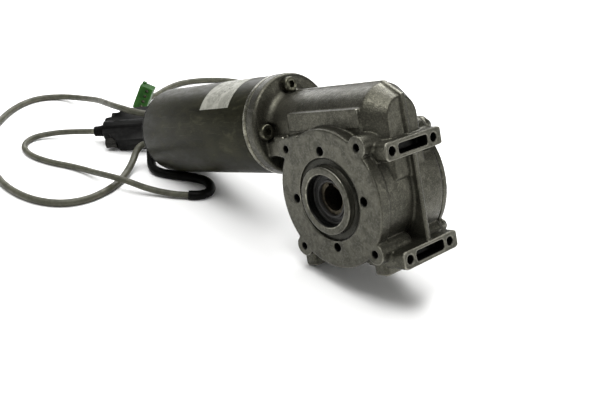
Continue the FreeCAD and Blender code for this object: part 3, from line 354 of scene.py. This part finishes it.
# ---------------------------------------------------------------- material graphs
class Graph:
    """A node material that reads positions in the machine frame, in millimetres."""

    def __init__(self, name):
        self.material = bpy.data.materials.new(name)
        self.material.use_nodes = True
        self.tree = self.material.node_tree
        self.tree.nodes.clear()
        self.shader = self.node("ShaderNodeBsdfPrincipled")
        out = self.node("ShaderNodeOutputMaterial")
        self.tree.links.new(self.shader.outputs["BSDF"], out.inputs["Surface"])
        place = self.node("ShaderNodeTexCoord")
        turned = self.node("ShaderNodeMapping")
        self.put(turned.inputs["Vector"], place.outputs["Object"])
        turned.inputs["Rotation"].default_value = (0.0, LEAN, 0.0)
        turned.inputs["Scale"].default_value = (1 / MM, 1 / MM, 1 / MM)
        self.place = turned.outputs["Vector"]
        parts = self.node("ShaderNodeSeparateXYZ")
        self.put(parts.inputs[0], self.place)
        self.x, self.y, self.z = parts.outputs

    def node(self, kind, **settings):
        made = self.tree.nodes.new(kind)
        for key, value in settings.items():
            setattr(made, key, value)
        return made

    def put(self, socket, value):
        if isinstance(value, bpy.types.NodeSocket):
            self.tree.links.new(value, socket)
        else:
            socket.default_value = value

    def math(self, operation, first, second=0.0):
        made = self.node("ShaderNodeMath", operation=operation)
        self.put(made.inputs[0], first)
        self.put(made.inputs[1], second)
        return made.outputs[0]

    def stretched(self, sx, sy, sz):
        made = self.node("ShaderNodeVectorMath", operation="MULTIPLY")
        self.put(made.inputs[0], self.place)
        made.inputs[1].default_value = (sx, sy, sz)
        return made.outputs[0]

    def noise(self, size, detail=3.0, rough=0.5, place=None, distort=0.0):
        """Noise whose blotches are about size millimetres across."""
        made = self.node("ShaderNodeTexNoise")
        self.put(made.inputs["Vector"], self.place if place is None else place)
        made.inputs["Scale"].default_value = 1.0 / size
        made.inputs["Detail"].default_value = detail
        made.inputs["Roughness"].default_value = rough
        made.inputs["Distortion"].default_value = distort
        return made.outputs["Fac"]

    def step(self, value, low, high, to_low=0.0, to_high=1.0):
        made = self.node("ShaderNodeMapRange", interpolation_type="SMOOTHSTEP")
        self.put(made.inputs["Value"], value)
        made.inputs["From Min"].default_value = low
        made.inputs["From Max"].default_value = high
        made.inputs["To Min"].default_value = to_low
        made.inputs["To Max"].default_value = to_high
        return made.outputs["Result"]

    def mix(self, share, first, second):
        made = self.node("ShaderNodeMix", data_type="RGBA")
        self.put(made.inputs[0], share)
        for socket, value in ((made.inputs[6], first), (made.inputs[7], second)):
            if isinstance(value, tuple):
                value = (*value, 1.0)
            self.put(socket, value)
        return made.outputs[2]

    def bump(self, height, strength, distance):
        """A bump from a height; distance is in millimetres."""
        made = self.node("ShaderNodeBump")
        self.put(made.inputs["Height"], height)
        made.inputs["Strength"].default_value = strength
        made.inputs["Distance"].default_value = distance * MM
        return made.outputs["Normal"]

    def radius(self, first, second):
        squares = [self.math("MULTIPLY", side, side) for side in (first, second)]
        return self.math("SQRT", self.math("ADD", *squares))

    def near(self, value, target, half, soft=0.15):
        """1 where value is within half of target."""
        off = self.math("ABSOLUTE", self.math("SUBTRACT", value, target))
        return self.step(off, half, half + soft, 1.0, 0.0)

    def edges(self, low, high):
        """0 in hollows and on flats, 1 on sharp outer edges."""
        geometry = self.node("ShaderNodeNewGeometry")
        return self.step(geometry.outputs["Pointiness"], low, high)

    def finish(self, color, roughness, normal, metallic=0.0, specular=0.5):
        self.put(self.shader.inputs["Base Color"], color)
        self.put(self.shader.inputs["Roughness"], roughness)
        self.put(self.shader.inputs["Metallic"], metallic)
        self.shader.inputs["Specular IOR Level"].default_value = specular
        self.put(self.shader.inputs["Normal"], normal)
        return self.material


def shaded_hole_mask(g):
    """1 on the walls of the foot pockets and of every tapped hole, which are painted dark as shade."""
    foot_y = g.near(g.y, 0.0, FOOT_HALF_WIDTH, 0.2)

    def foot(across, out, outward):
        rows = [g.near(across, row, POCKET_HALF_HEIGHT) for row in FOOT_ROWS]
        bars = g.math("MAXIMUM", *rows)
        depth = g.near(g.math("MULTIPLY", out, outward), POCKET_MIDDLE, POCKET_HALF_DEPTH, 0.3)
        return g.math("MULTIPLY", g.math("MULTIPLY", bars, depth), foot_y)

    feet = g.math("MAXIMUM", foot(g.z, g.x, 1.0), foot(g.x, g.z, -1.0))
    deep = g.near(g.y, HOLE_MIDDLE_Y, HOLE_HALF_DEPTH, 0.3)
    ring = g.near(g.radius(g.x, g.z), FLANGE_HOLE_CIRCLE_R, FLANGE_HOLE_R)
    ear_x = g.near(g.math("ABSOLUTE", g.x), EAR_HOLE_PLACE, EAR_HOLE_R)
    ear_z = g.near(g.math("ABSOLUTE", g.z), EAR_HOLE_PLACE, EAR_HOLE_R)
    flange = g.math("MULTIPLY", deep, g.math("MAXIMUM", ring, g.math("MULTIPLY", ear_x, ear_z)))
    return g.math("MAXIMUM", feet, flange)


def cast_metal(name):
    """Dull die-cast skin, its machined faces and worn edges, with painted shade in the corners, the sunk
    ring, the bore and the holes, and painted highlights on the bore's mouth and the foot bars' rims.
    """
    g = Graph(name)
    broad = g.noise(22.0, 3.0, 0.5)
    patch = g.noise(3.4, 5.0, 0.62)
    grain = g.noise(0.8, 3.0, 0.6)
    skin = g.mix(g.step(broad, 0.36, 0.66), (0.038, 0.037, 0.028), (0.062, 0.060, 0.047))
    skin = g.mix(g.step(patch, 0.50, 0.74, 0.0, 0.45), skin, (0.105, 0.102, 0.080))
    skin = g.mix(g.step(patch, 0.46, 0.26, 0.0, 0.55), skin, (0.024, 0.023, 0.015))
    skin = g.mix(g.step(grain, 0.50, 0.70, 0.0, 0.4), skin, (0.155, 0.150, 0.112))
    skin = g.mix(g.step(grain, 0.48, 0.30, 0.0, 0.4), skin, (0.018, 0.017, 0.011))
    # faces turned or milled after casting
    flange_r = g.radius(g.x, g.z)
    skim = 0.25
    face = g.near(g.y, FLANGE_FACE_Y, skim)
    feet = g.math("MAXIMUM", g.near(g.x, FOOT_FACE, skim), g.near(g.z, -FOOT_FACE, skim))
    within_collar = g.step(flange_r, COLLAR_EDGE_R + 0.1, COLLAR_EDGE_R - 0.1)
    collar = g.math("MULTIPLY", g.near(g.y, COLLAR_Y, 2.4), within_collar)
    within_bore = g.step(flange_r, BORE_EDGE_R + 0.1, BORE_EDGE_R - 0.2)
    bore_shade_mask = g.math("MULTIPLY", within_bore, g.step(g.y, BORE_START_Y, BORE_START_Y - 0.4))
    milled = g.math("MAXIMUM", g.math("MAXIMUM", face, feet), collar)
    stain = g.noise(7.0, 5.0, 0.65, distort=0.5)
    milled_color = g.mix(g.step(stain, 0.36, 0.62), (0.038, 0.037, 0.028), (0.070, 0.068, 0.053))
    specks = g.step(g.noise(1.6, 4.0, 0.7), 0.44, 0.72, 0.0, 0.5)
    milled_color = g.mix(specks, milled_color, (0.125, 0.122, 0.106))
    color = g.mix(milled, skin, milled_color)
    # rubbed edges, painted shade in the corners and painted highlights on some rims
    wear = g.math("MULTIPLY", g.edges(0.52, 0.59), g.step(g.noise(3.5, 3.0, 0.6), 0.32, 0.55, 0.3, 1.0))
    color = g.mix(g.math("MULTIPLY", wear, 0.9), color, (0.46, 0.45, 0.38))
    # painted highlight along the front rims of the foot bars
    bar_front = FOOT_FACE - 0.2
    bars = g.math("MAXIMUM", g.near(g.x, bar_front, 0.6), g.near(g.z, -bar_front, 0.6))
    bar_rim_highlight = g.math("MULTIPLY", bars, g.edges(0.503, 0.54))
    color = g.mix(g.math("MULTIPLY", bar_rim_highlight, 0.5), color, (0.30, 0.29, 0.24))
    # painted shade: hollows and inner corners are darkened
    corner_shade = g.math("MULTIPLY", g.edges(0.487, 0.44), 0.85)
    color = g.mix(corner_shade, color, (0.014, 0.014, 0.010))
    # painted highlight round the bore's mouth on the collar
    mouth_highlight = g.math("MULTIPLY", g.near(g.y, COLLAR_MOUTH_Y, 0.55), g.near(flange_r, BORE_EDGE_R, 0.5, 0.2))
    mouth_highlight = g.math("MULTIPLY", mouth_highlight, g.step(g.noise(3.0, 3.0, 0.6), 0.40, 0.62, 0.15, 0.55))
    color = g.mix(mouth_highlight, color, (0.40, 0.39, 0.32))
    # painted shade in the sunk ring round the collar
    sunk_shade = g.math("MULTIPLY", g.near(g.y, SUNK_RING_Y, 0.35), g.near(flange_r, SUNK_RING_R, 2.5, 0.3))
    color = g.mix(g.math("MULTIPLY", sunk_shade, 0.75), color, (0.016, 0.016, 0.013))
    # painted shade: the bore, the foot pockets and the tapped holes are painted nearly black
    color = g.mix(g.math("MAXIMUM", bore_shade_mask, shaded_hole_mask(g)), color, (0.006, 0.006, 0.005))
    # turning marks on the flange, fine grain elsewhere
    rings = g.math("SINE", g.math("MULTIPLY", flange_r, 9.0))
    mark = g.math("MULTIPLY", rings, g.math("MAXIMUM", face, collar))
    height = g.math("ADD", g.math("MULTIPLY", grain, 1.0), g.math("MULTIPLY", patch, 1.4))
    height = g.math("MULTIPLY", height, g.math("SUBTRACT", 1.0, g.math("MULTIPLY", milled, 0.6)))
    height = g.math("ADD", height, g.math("MULTIPLY", mark, 0.05))
    normal = g.bump(height, 0.7, 0.22)
    rough = g.step(patch, 0.35, 0.65, 0.43, 0.29)
    rough = g.math("SUBTRACT", rough, g.math("MULTIPLY", wear, 0.1))
    return g.finish(color, rough, normal, metallic=0.8, specular=0.3)


def turned_metal(name, dark, light, rough=0.3, size=4.0):
    """Machined metal with stains, rubbed edges and fine marks."""
    g = Graph(name)
    stain = g.noise(size, 5.0, 0.62, distort=0.8)
    fine = g.noise(0.5, 3.0, 0.6)
    color = g.mix(g.step(stain, 0.36, 0.64), dark, light)
    rub = tuple(min(1.0, c * 1.6) for c in light)
    color = g.mix(g.edges(0.53, 0.62), color, rub)
    rings = g.math("SINE", g.math("MULTIPLY", g.x, 14.0))
    height = g.math("ADD", fine, g.math("MULTIPLY", rings, 0.25))
    normal = g.bump(height, 0.35, 0.08)
    return g.finish(color, g.step(stain, 0.3, 0.7, rough + 0.12, rough - 0.04), normal, metallic=0.95)


def olive_tube(name):
    """Dark olive tube with pale worn patches, smears and fine scratches."""
    g = Graph(name)
    along = g.stretched(0.45, 1.0, 1.0)
    broad = g.noise(30.0, 4.0, 0.6, place=along, distort=1.2)
    patch = g.noise(6.0, 6.0, 0.70, place=along, distort=0.6)
    fine = g.noise(0.9, 4.0, 0.65)
    streak = g.noise(1.0, 2.0, 0.5, place=g.stretched(0.06, 1.1, 1.1))
    base = g.mix(g.step(broad, 0.36, 0.66), (0.0095, 0.0094, 0.0045), (0.0190, 0.0187, 0.0096))
    base = g.mix(g.step(patch, 0.50, 0.72, 0.0, 0.7), base, (0.050, 0.049, 0.030))
    base = g.mix(g.step(patch, 0.46, 0.28, 0.0, 0.8), base, (0.0040, 0.0037, 0.0015))
    base = g.mix(g.step(streak, 0.62, 0.74, 0.0, 0.3), base, (0.065, 0.063, 0.042))
    base = g.mix(g.step(fine, 0.56, 0.72, 0.0, 0.4), base, (0.048, 0.047, 0.030))
    base = g.mix(g.edges(0.53, 0.62), base, (0.22, 0.22, 0.18))
    height = g.math("ADD", g.math("MULTIPLY", patch, 0.7), g.math("MULTIPLY", fine, 0.35))
    normal = g.bump(height, 0.4, 0.14)
    rough = g.step(patch, 0.3, 0.7, 0.34, 0.50)
    return g.finish(base, rough, normal, metallic=0.4, specular=0.07)


def paper(name):
    """Worn label stock with faint rules and smudged marks, no writing."""
    g = Graph(name)
    stain = g.noise(7.0, 5.0, 0.65, distort=1.0)
    fibre = g.noise(0.35, 3.0, 0.6)
    color = g.mix(g.step(stain, 0.36, 0.64), (0.160, 0.160, 0.135), (0.265, 0.265, 0.228))
    thick_rule = g.near(g.x, -86.2, 0.18, 0.25)
    thin_rule = g.near(g.x, -88.3, 0.12, 0.25)
    rules = g.math("MAXIMUM", thick_rule, thin_rule)
    rules = g.math("MULTIPLY", rules, g.step(g.noise(1.6, 2.0, 0.6), 0.38, 0.55))
    color = g.mix(g.math("MULTIPLY", rules, 0.55), color, (0.06, 0.06, 0.05))
    smudge = g.step(g.noise(2.6, 3.0, 0.55), 0.60, 0.66)
    zone_x = g.near(g.x, -98.0, 8.0, 2.0)
    zone_z = g.near(g.z, MOTOR_AXIS_Z + 27.0, 5.0, 1.5)
    zone = g.math("MULTIPLY", zone_x, zone_z)
    color = g.mix(g.math("MULTIPLY", g.math("MULTIPLY", smudge, zone), 0.9), color, (0.03, 0.03, 0.025))
    normal = g.bump(g.math("ADD", fibre, g.math("MULTIPLY", stain, 1.2)), 0.3, 0.08)
    return g.finish(color, g.step(stain, 0.3, 0.7, 0.62, 0.48), normal)


def moulded(name, dark, light, rough=0.5, size=3.0, specular=0.3):
    """Moulded or rubber surface: soft colour change, fine texture, scuffed edges."""
    g = Graph(name)
    cloud = g.noise(size, 4.0, 0.6)
    fine = g.noise(0.3, 3.0, 0.6)
    color = g.mix(g.step(cloud, 0.34, 0.66), dark, light)
    scuff = tuple(min(1.0, c * 2.2 + 0.015) for c in light)
    color = g.mix(g.math("MULTIPLY", g.edges(0.53, 0.63), 0.6), color, scuff)
    normal = g.bump(g.math("ADD", fine, g.math("MULTIPLY", cloud, 0.6)), 0.3, 0.09)
    return g.finish(color, g.step(cloud, 0.3, 0.7, rough + 0.08, rough - 0.08), normal, specular=specular)


def banded(name, dark, light, pitch, rough=0.4):
    """Stacked sheet or wound wire: fine bands at a pitch along the motor's axis."""
    g = Graph(name)
    wave = g.math("SINE", g.math("MULTIPLY", g.x, 2 * math.pi / pitch))
    cloud = g.noise(3.0, 4.0, 0.6)
    share = g.math("MULTIPLY", g.step(wave, -0.8, 0.6), g.step(cloud, 0.3, 0.6, 0.6, 1.0))
    color = g.mix(share, dark, light)
    normal = g.bump(g.math("ADD", g.math("MULTIPLY", wave, 0.6), cloud), 0.5, 0.12)
    return g.finish(color, g.step(cloud, 0.3, 0.7, rough + 0.1, rough - 0.05), normal, metallic=0.8)


# a darker copy of the steel for the output shaft: painted shade for its place deep in the bore
SHADED_SHAFT_STEEL = turned_metal("shaded_shaft_steel_look", (0.020, 0.018, 0.013), (0.060, 0.051, 0.034), 0.36, size=2.0)

MATERIALS = {
    "cast_aluminium": cast_metal("cast_aluminium_look"),
    "machined_aluminium": turned_metal(
        "machined_aluminium_look", (0.065, 0.063, 0.046), (0.18, 0.176, 0.135), 0.22),
    "tube_steel": olive_tube("tube_steel_look"),
    "bright_steel": turned_metal(
        "bright_steel_look", (0.15, 0.145, 0.125), (0.30, 0.29, 0.255), 0.3),
    "zinc_screw": turned_metal(
        "zinc_screw_look", (0.035, 0.034, 0.024), (0.085, 0.083, 0.060), 0.36, size=2.0),
    "dark_screw": turned_metal(
        "dark_screw_look", (0.012, 0.012, 0.011), (0.030, 0.029, 0.026), 0.42, size=2.0),
    "bronze": turned_metal("bronze_look", (0.28, 0.16, 0.055), (0.46, 0.29, 0.115), 0.32),
    "seal_rubber": moulded("seal_rubber_look", (0.010, 0.010, 0.009), (0.022, 0.021, 0.019), 0.5),
    "gasket_fibre": moulded(
        "gasket_fibre_look", (0.022, 0.021, 0.018), (0.045, 0.043, 0.037), 0.8, 1.2),
    "ferrite": moulded("ferrite_look", (0.030, 0.030, 0.033), (0.055, 0.055, 0.060), 0.6),
    "lamination": banded("lamination_look", (0.07, 0.07, 0.07), (0.27, 0.27, 0.28), 0.5),
    "enamelled_copper": banded(
        "enamelled_copper_look", (0.15, 0.045, 0.012), (0.45, 0.16, 0.045), 0.7, rough=0.28),
    "bare_copper": turned_metal("bare_copper_look", (0.36, 0.16, 0.075), (0.55, 0.27, 0.14), 0.28),
    "carbon": moulded("carbon_look", (0.018, 0.018, 0.019), (0.045, 0.045, 0.047), 0.45),
    "spring_steel": turned_metal(
        "spring_steel_look", (0.30, 0.30, 0.30), (0.55, 0.55, 0.54), 0.22, size=1.0),
    "brass": turned_metal("brass_look", (0.36, 0.25, 0.085), (0.60, 0.45, 0.18), 0.25, size=1.5),
    "laminate_board": moulded(
        "laminate_board_look", (0.012, 0.065, 0.022), (0.025, 0.11, 0.040), 0.35),
    "black_plastic": moulded(
        "black_plastic_look", (0.0018, 0.0018, 0.0017), (0.0050, 0.0050, 0.0046), 0.46, specular=0.05),
    "encoder_plastic": moulded(
        "encoder_plastic_look", (0.020, 0.020, 0.022), (0.040, 0.040, 0.044), 0.45),
    "green_plastic": moulded(
        "green_plastic_look", (0.009, 0.040, 0.006), (0.019, 0.066, 0.011), 0.42, specular=0.1),
    "black_sleeve": moulded(
        "black_sleeve_look", (0.0010, 0.0010, 0.0007), (0.003, 0.003, 0.0023), 0.42, specular=0.06),
    "grey_cord": moulded("grey_cord_look", (0.040, 0.040, 0.026), (0.070, 0.069, 0.047), 0.5, 6.0),
    "core_wire": moulded("core_wire_look", (0.20, 0.20, 0.17), (0.34, 0.34, 0.30), 0.4),
    "label_paper": paper("label_paper_look"),
}

SLOT_NODES = {
    "cast_aluminium": ["gear_housing", "rear_cover"],
    "machined_aluminium": ["motor_front_shield", "rear_bearing_shield"],
    "tube_steel": ["motor_tube"],
    "bright_steel": ["worm", "rotor_shaft", "shaft_coupling_key", "wheel_key", "hollow_output_shaft",
                     "front_wheel_bearing_outer", "front_wheel_bearing_inner", "rear_wheel_bearing_outer",
                     "rear_wheel_bearing_inner", "worm_drive_bearing_outer", "worm_drive_bearing_inner",
                     "worm_end_bearing_outer", "worm_end_bearing_inner", "motor_front_bearing_outer",
                     "motor_front_bearing_inner", "motor_rear_bearing_outer", "motor_rear_bearing_inner"],
    "zinc_screw": ["motor_flange_screws", "cover_screws", "through_bolts", "terminal_plug_screws"],
    "dark_screw": ["plug_thumbscrews"],
    "bronze": ["worm_wheel"],
    "seal_rubber": ["front_oil_seal", "rear_oil_seal"],
    "gasket_fibre": ["cover_gasket"],
    "ferrite": ["field_magnets"],
    "lamination": ["armature_core"],
    "enamelled_copper": ["armature_windings"],
    "bare_copper": ["commutator"],
    "carbon": ["carbon_brushes"],
    "spring_steel": ["brush_springs", "output_shaft_circlips", "worm_bearing_circlip"],
    "brass": ["plug_contacts", "brush_holders"],
    "laminate_board": ["encoder_board", "brush_plate"],
    "black_plastic": ["plug_shell_upper", "plug_shell_lower", "plug_boot", "plug_insert", "rear_end_cap"],
    "encoder_plastic": ["encoder_disc"],
    "green_plastic": ["terminal_plug_body"],
    "core_wire": ["encoder_cord_cores"],
    "label_paper": ["rating_label"],
}


def wear_material(piece, slot):
    piece.data.materials.clear()
    piece.data.materials.append(MATERIALS[slot])


for slot_name, members in SLOT_NODES.items():
    for node_name in members:
        wear_material(NODES[node_name], slot_name)

# the output shaft, deep in the bore, gets the darker warm steel as painted shade
NODES["hollow_output_shaft"].data.materials[0] = SHADED_SHAFT_STEEL

# ---------------------------------------------------------------- castings
VOXEL = 0.6


def casting(node, name, keep_faces):
    """A CAD casting with the soft edges and filled corners that a die gives it."""
    upright = NODES[node].data.copy()
    upright.transform(LEAN_TURN.inverted())

    def melt(work):
        modifier(work, "WELD", merge_threshold=1e-6)
        modifier(work, "REMESH", mode="VOXEL", voxel_size=VOXEL * MM, use_smooth_shade=True)
        modifier(work, "SMOOTH", factor=0.5, iterations=4)
        modifier(work, "DECIMATE", decimate_type="COLLAPSE", ratio=keep_faces)

    mesh = mesh_after(upright, name, melt)
    bpy.data.meshes.remove(upright)
    mesh.transform(LEAN_TURN)
    shade_by_angle(mesh, 60)
    piece = add_piece(name, mesh, "housing", "cast_aluminium", node)
    wear_material(piece, "cast_aluminium")
    print(name, "faces", len(mesh.polygons))
    return piece


casting("gear_housing", "housing_casting", 0.4)
casting("rear_cover", "cover_casting", 0.3)

# ---------------------------------------------------------------- cords' pieces
power_line = line_of(power_cord)
encoder_line = line_of(encoder_cord)

sleeve_points = resampled(power_line, 0.0012, SLEEVE_LENGTH)
SLEEVE_LIP = 0.015                     # share of the sleeve that narrows at its end


def sleeve_outer(share):
    return (SLEEVE_D / 2 - 0.25 * max(0.0, share - (1 - SLEEVE_LIP)) / SLEEVE_LIP) * MM


def sleeve_inner(share):
    return (POWER_D / 2 - 0.05) * MM


sleeve_mesh = hollow_tube("cord_sleeve", sleeve_points, sleeve_outer, sleeve_inner)
sleeve = add_piece("cord_sleeve", sleeve_mesh, "housing", "black_sleeve", "power_cord_sleeve")
wear_material(sleeve, "black_sleeve")


GLAND_IN_CAP = 3.0
GLAND_LIP = 1.6
GLAND_NECK_R = 3.9
GLAND_LIP_R = 5.5
GLAND_TAPER_R = 4.7
GLAND_END_WALL = 0.45                  # rubber round the cord where the gland ends
GLAND_RIBS = 6.5
GLAND_RIB_HEIGHT = 0.32


def ribbed_gland(name, place, line, cord_r, node):
    """Ribbed rubber strain relief that tapers from the rear cap along the first of the cord."""
    start = machine_point(CAP_REAR + GLAND_IN_CAP, *place)
    shoulder = machine_point(CAP_REAR, *place)
    after = 0.011
    path = resampled([start, shoulder] + resampled(line, 0.001, after), 0.00035)
    total = (shoulder - start).length + (line[0] - shoulder).length + after
    cap_share = GLAND_IN_CAP * MM / total
    lip_share = (GLAND_IN_CAP + GLAND_LIP) * MM / total

    def outer(share):
        if share < cap_share:
            return GLAND_NECK_R * MM
        if share < lip_share:
            return GLAND_LIP_R * MM
        along = (share - lip_share) / (1 - lip_share)
        taper = GLAND_TAPER_R + (cord_r + GLAND_END_WALL - GLAND_TAPER_R) * along
        ridge = 1 if math.sin(2 * math.pi * GLAND_RIBS * along) > -0.15 else -1
        rib = GLAND_RIB_HEIGHT * ridge * (1 - 0.5 * along)
        return (taper + (rib if along < 0.93 else 0.0)) * MM

    mesh = hollow_tube(name, path, outer, lambda share: (cord_r - 0.12) * MM, around=32)
    piece = add_piece(name, mesh, "housing", "seal_rubber", node)
    wear_material(piece, "seal_rubber")
    return piece


power_gland = ribbed_gland("power_gland", POWER_GLAND, power_line, SLEEVE_D / 2, "power_cord_gland")
encoder_gland = ribbed_gland("encoder_gland", ENCODER_GLAND, encoder_line, ENCODER_D / 2,
                             "encoder_cord_gland")

for cord_piece, cad in ((power_cord, "power_cord"), (encoder_cord, "encoder_cord")):
    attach(cord_piece, "housing")
    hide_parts(cad)
    cord_piece.data.materials.append(MATERIALS["grey_cord"])

# ---------------------------------------------------------------- small radii on CAD parts
EDGE_ROUNDS = {                        # mm
    "motor_front_shield": 0.25,
    "motor_tube": 0.2,
    "rear_end_cap": 0.25,
    "motor_flange_screws": 0.2,
    "cover_screws": 0.2,
    "plug_shell_upper": 0.35,
    "plug_shell_lower": 0.35,
    "plug_thumbscrews": 0.15,
    "plug_insert": 0.2,
    "plug_boot": 0.2,
    "terminal_plug_body": 0.25,
    "terminal_plug_screws": 0.1,
    "hollow_output_shaft": 0.25,
    "front_oil_seal": 0.15,
}
for node_name, width in EDGE_ROUNDS.items():
    node = NODES[node_name]
    modifier(node, "WELD", merge_threshold=1e-6)
    modifier(node, "DECIMATE", decimate_type="DISSOLVE", angle_limit=math.radians(0.6))
    modifier(node, "BEVEL", width=width * MM, segments=2, limit_method="ANGLE",
             angle_limit=math.radians(32), harden_normals=False, use_clamp_overlap=True)

# ---------------------------------------------------------------- floor, light and view
FLOOR_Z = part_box("gear_housing")[0].z


def make_floor():
    mesh = bpy.data.meshes.new("floor")
    made = bmesh.new()
    bmesh.ops.create_grid(made, x_segments=8, y_segments=8, size=5.0)
    made.to_mesh(mesh)
    made.free()
    floor = bpy.data.objects.new("floor", mesh)
    floor.location = (0.0, 0.0, FLOOR_Z)
    SCENE.collection.objects.link(floor)
    pale = bpy.data.materials.new("floor_paper")
    pale.use_nodes = True
    shader = pale.node_tree.nodes["Principled BSDF"]
    shader.inputs["Base Color"].default_value = (0.93, 0.93, 0.925, 1.0)
    shader.inputs["Roughness"].default_value = 0.9
    shader.inputs["Specular IOR Level"].default_value = 0.1
    mesh.materials.append(pale)


def soft_light(name, place, size, watts, aim=(-0.08, 0.0, 0.0)):
    data = bpy.data.lights.new(name, "AREA")
    data.shape = "SQUARE"
    data.size = size
    data.energy = watts
    lamp = bpy.data.objects.new(name, data)
    SCENE.collection.objects.link(lamp)
    lamp.location = place
    away = Vector(aim) - Vector(place)
    lamp.rotation_mode = "QUATERNION"
    lamp.rotation_quaternion = away.to_track_quat("-Z", "Y")


make_floor()
soft_light("key", (-0.35, -0.05, 1.5), 2.2, 34.0)
soft_light("front", (0.15, -0.33, 1.05), 0.4, 5.0)
soft_light("back", (-0.55, 0.9, 1.05), 0.6, 16.0)
soft_light("left", (-1.6, 0.65, 0.55), 0.8, 6.0)
soft_light("right", (1.3, 1.0, 0.40), 0.7, 5.0)

world = bpy.data.worlds.new("studio")
SCENE.world = world
world.use_nodes = True
world.node_tree.nodes["Background"].inputs["Color"].default_value = (1.0, 1.0, 0.99, 1.0)
world.node_tree.nodes["Background"].inputs["Strength"].default_value = 0.3
SCENE.view_settings.view_transform = "Standard"
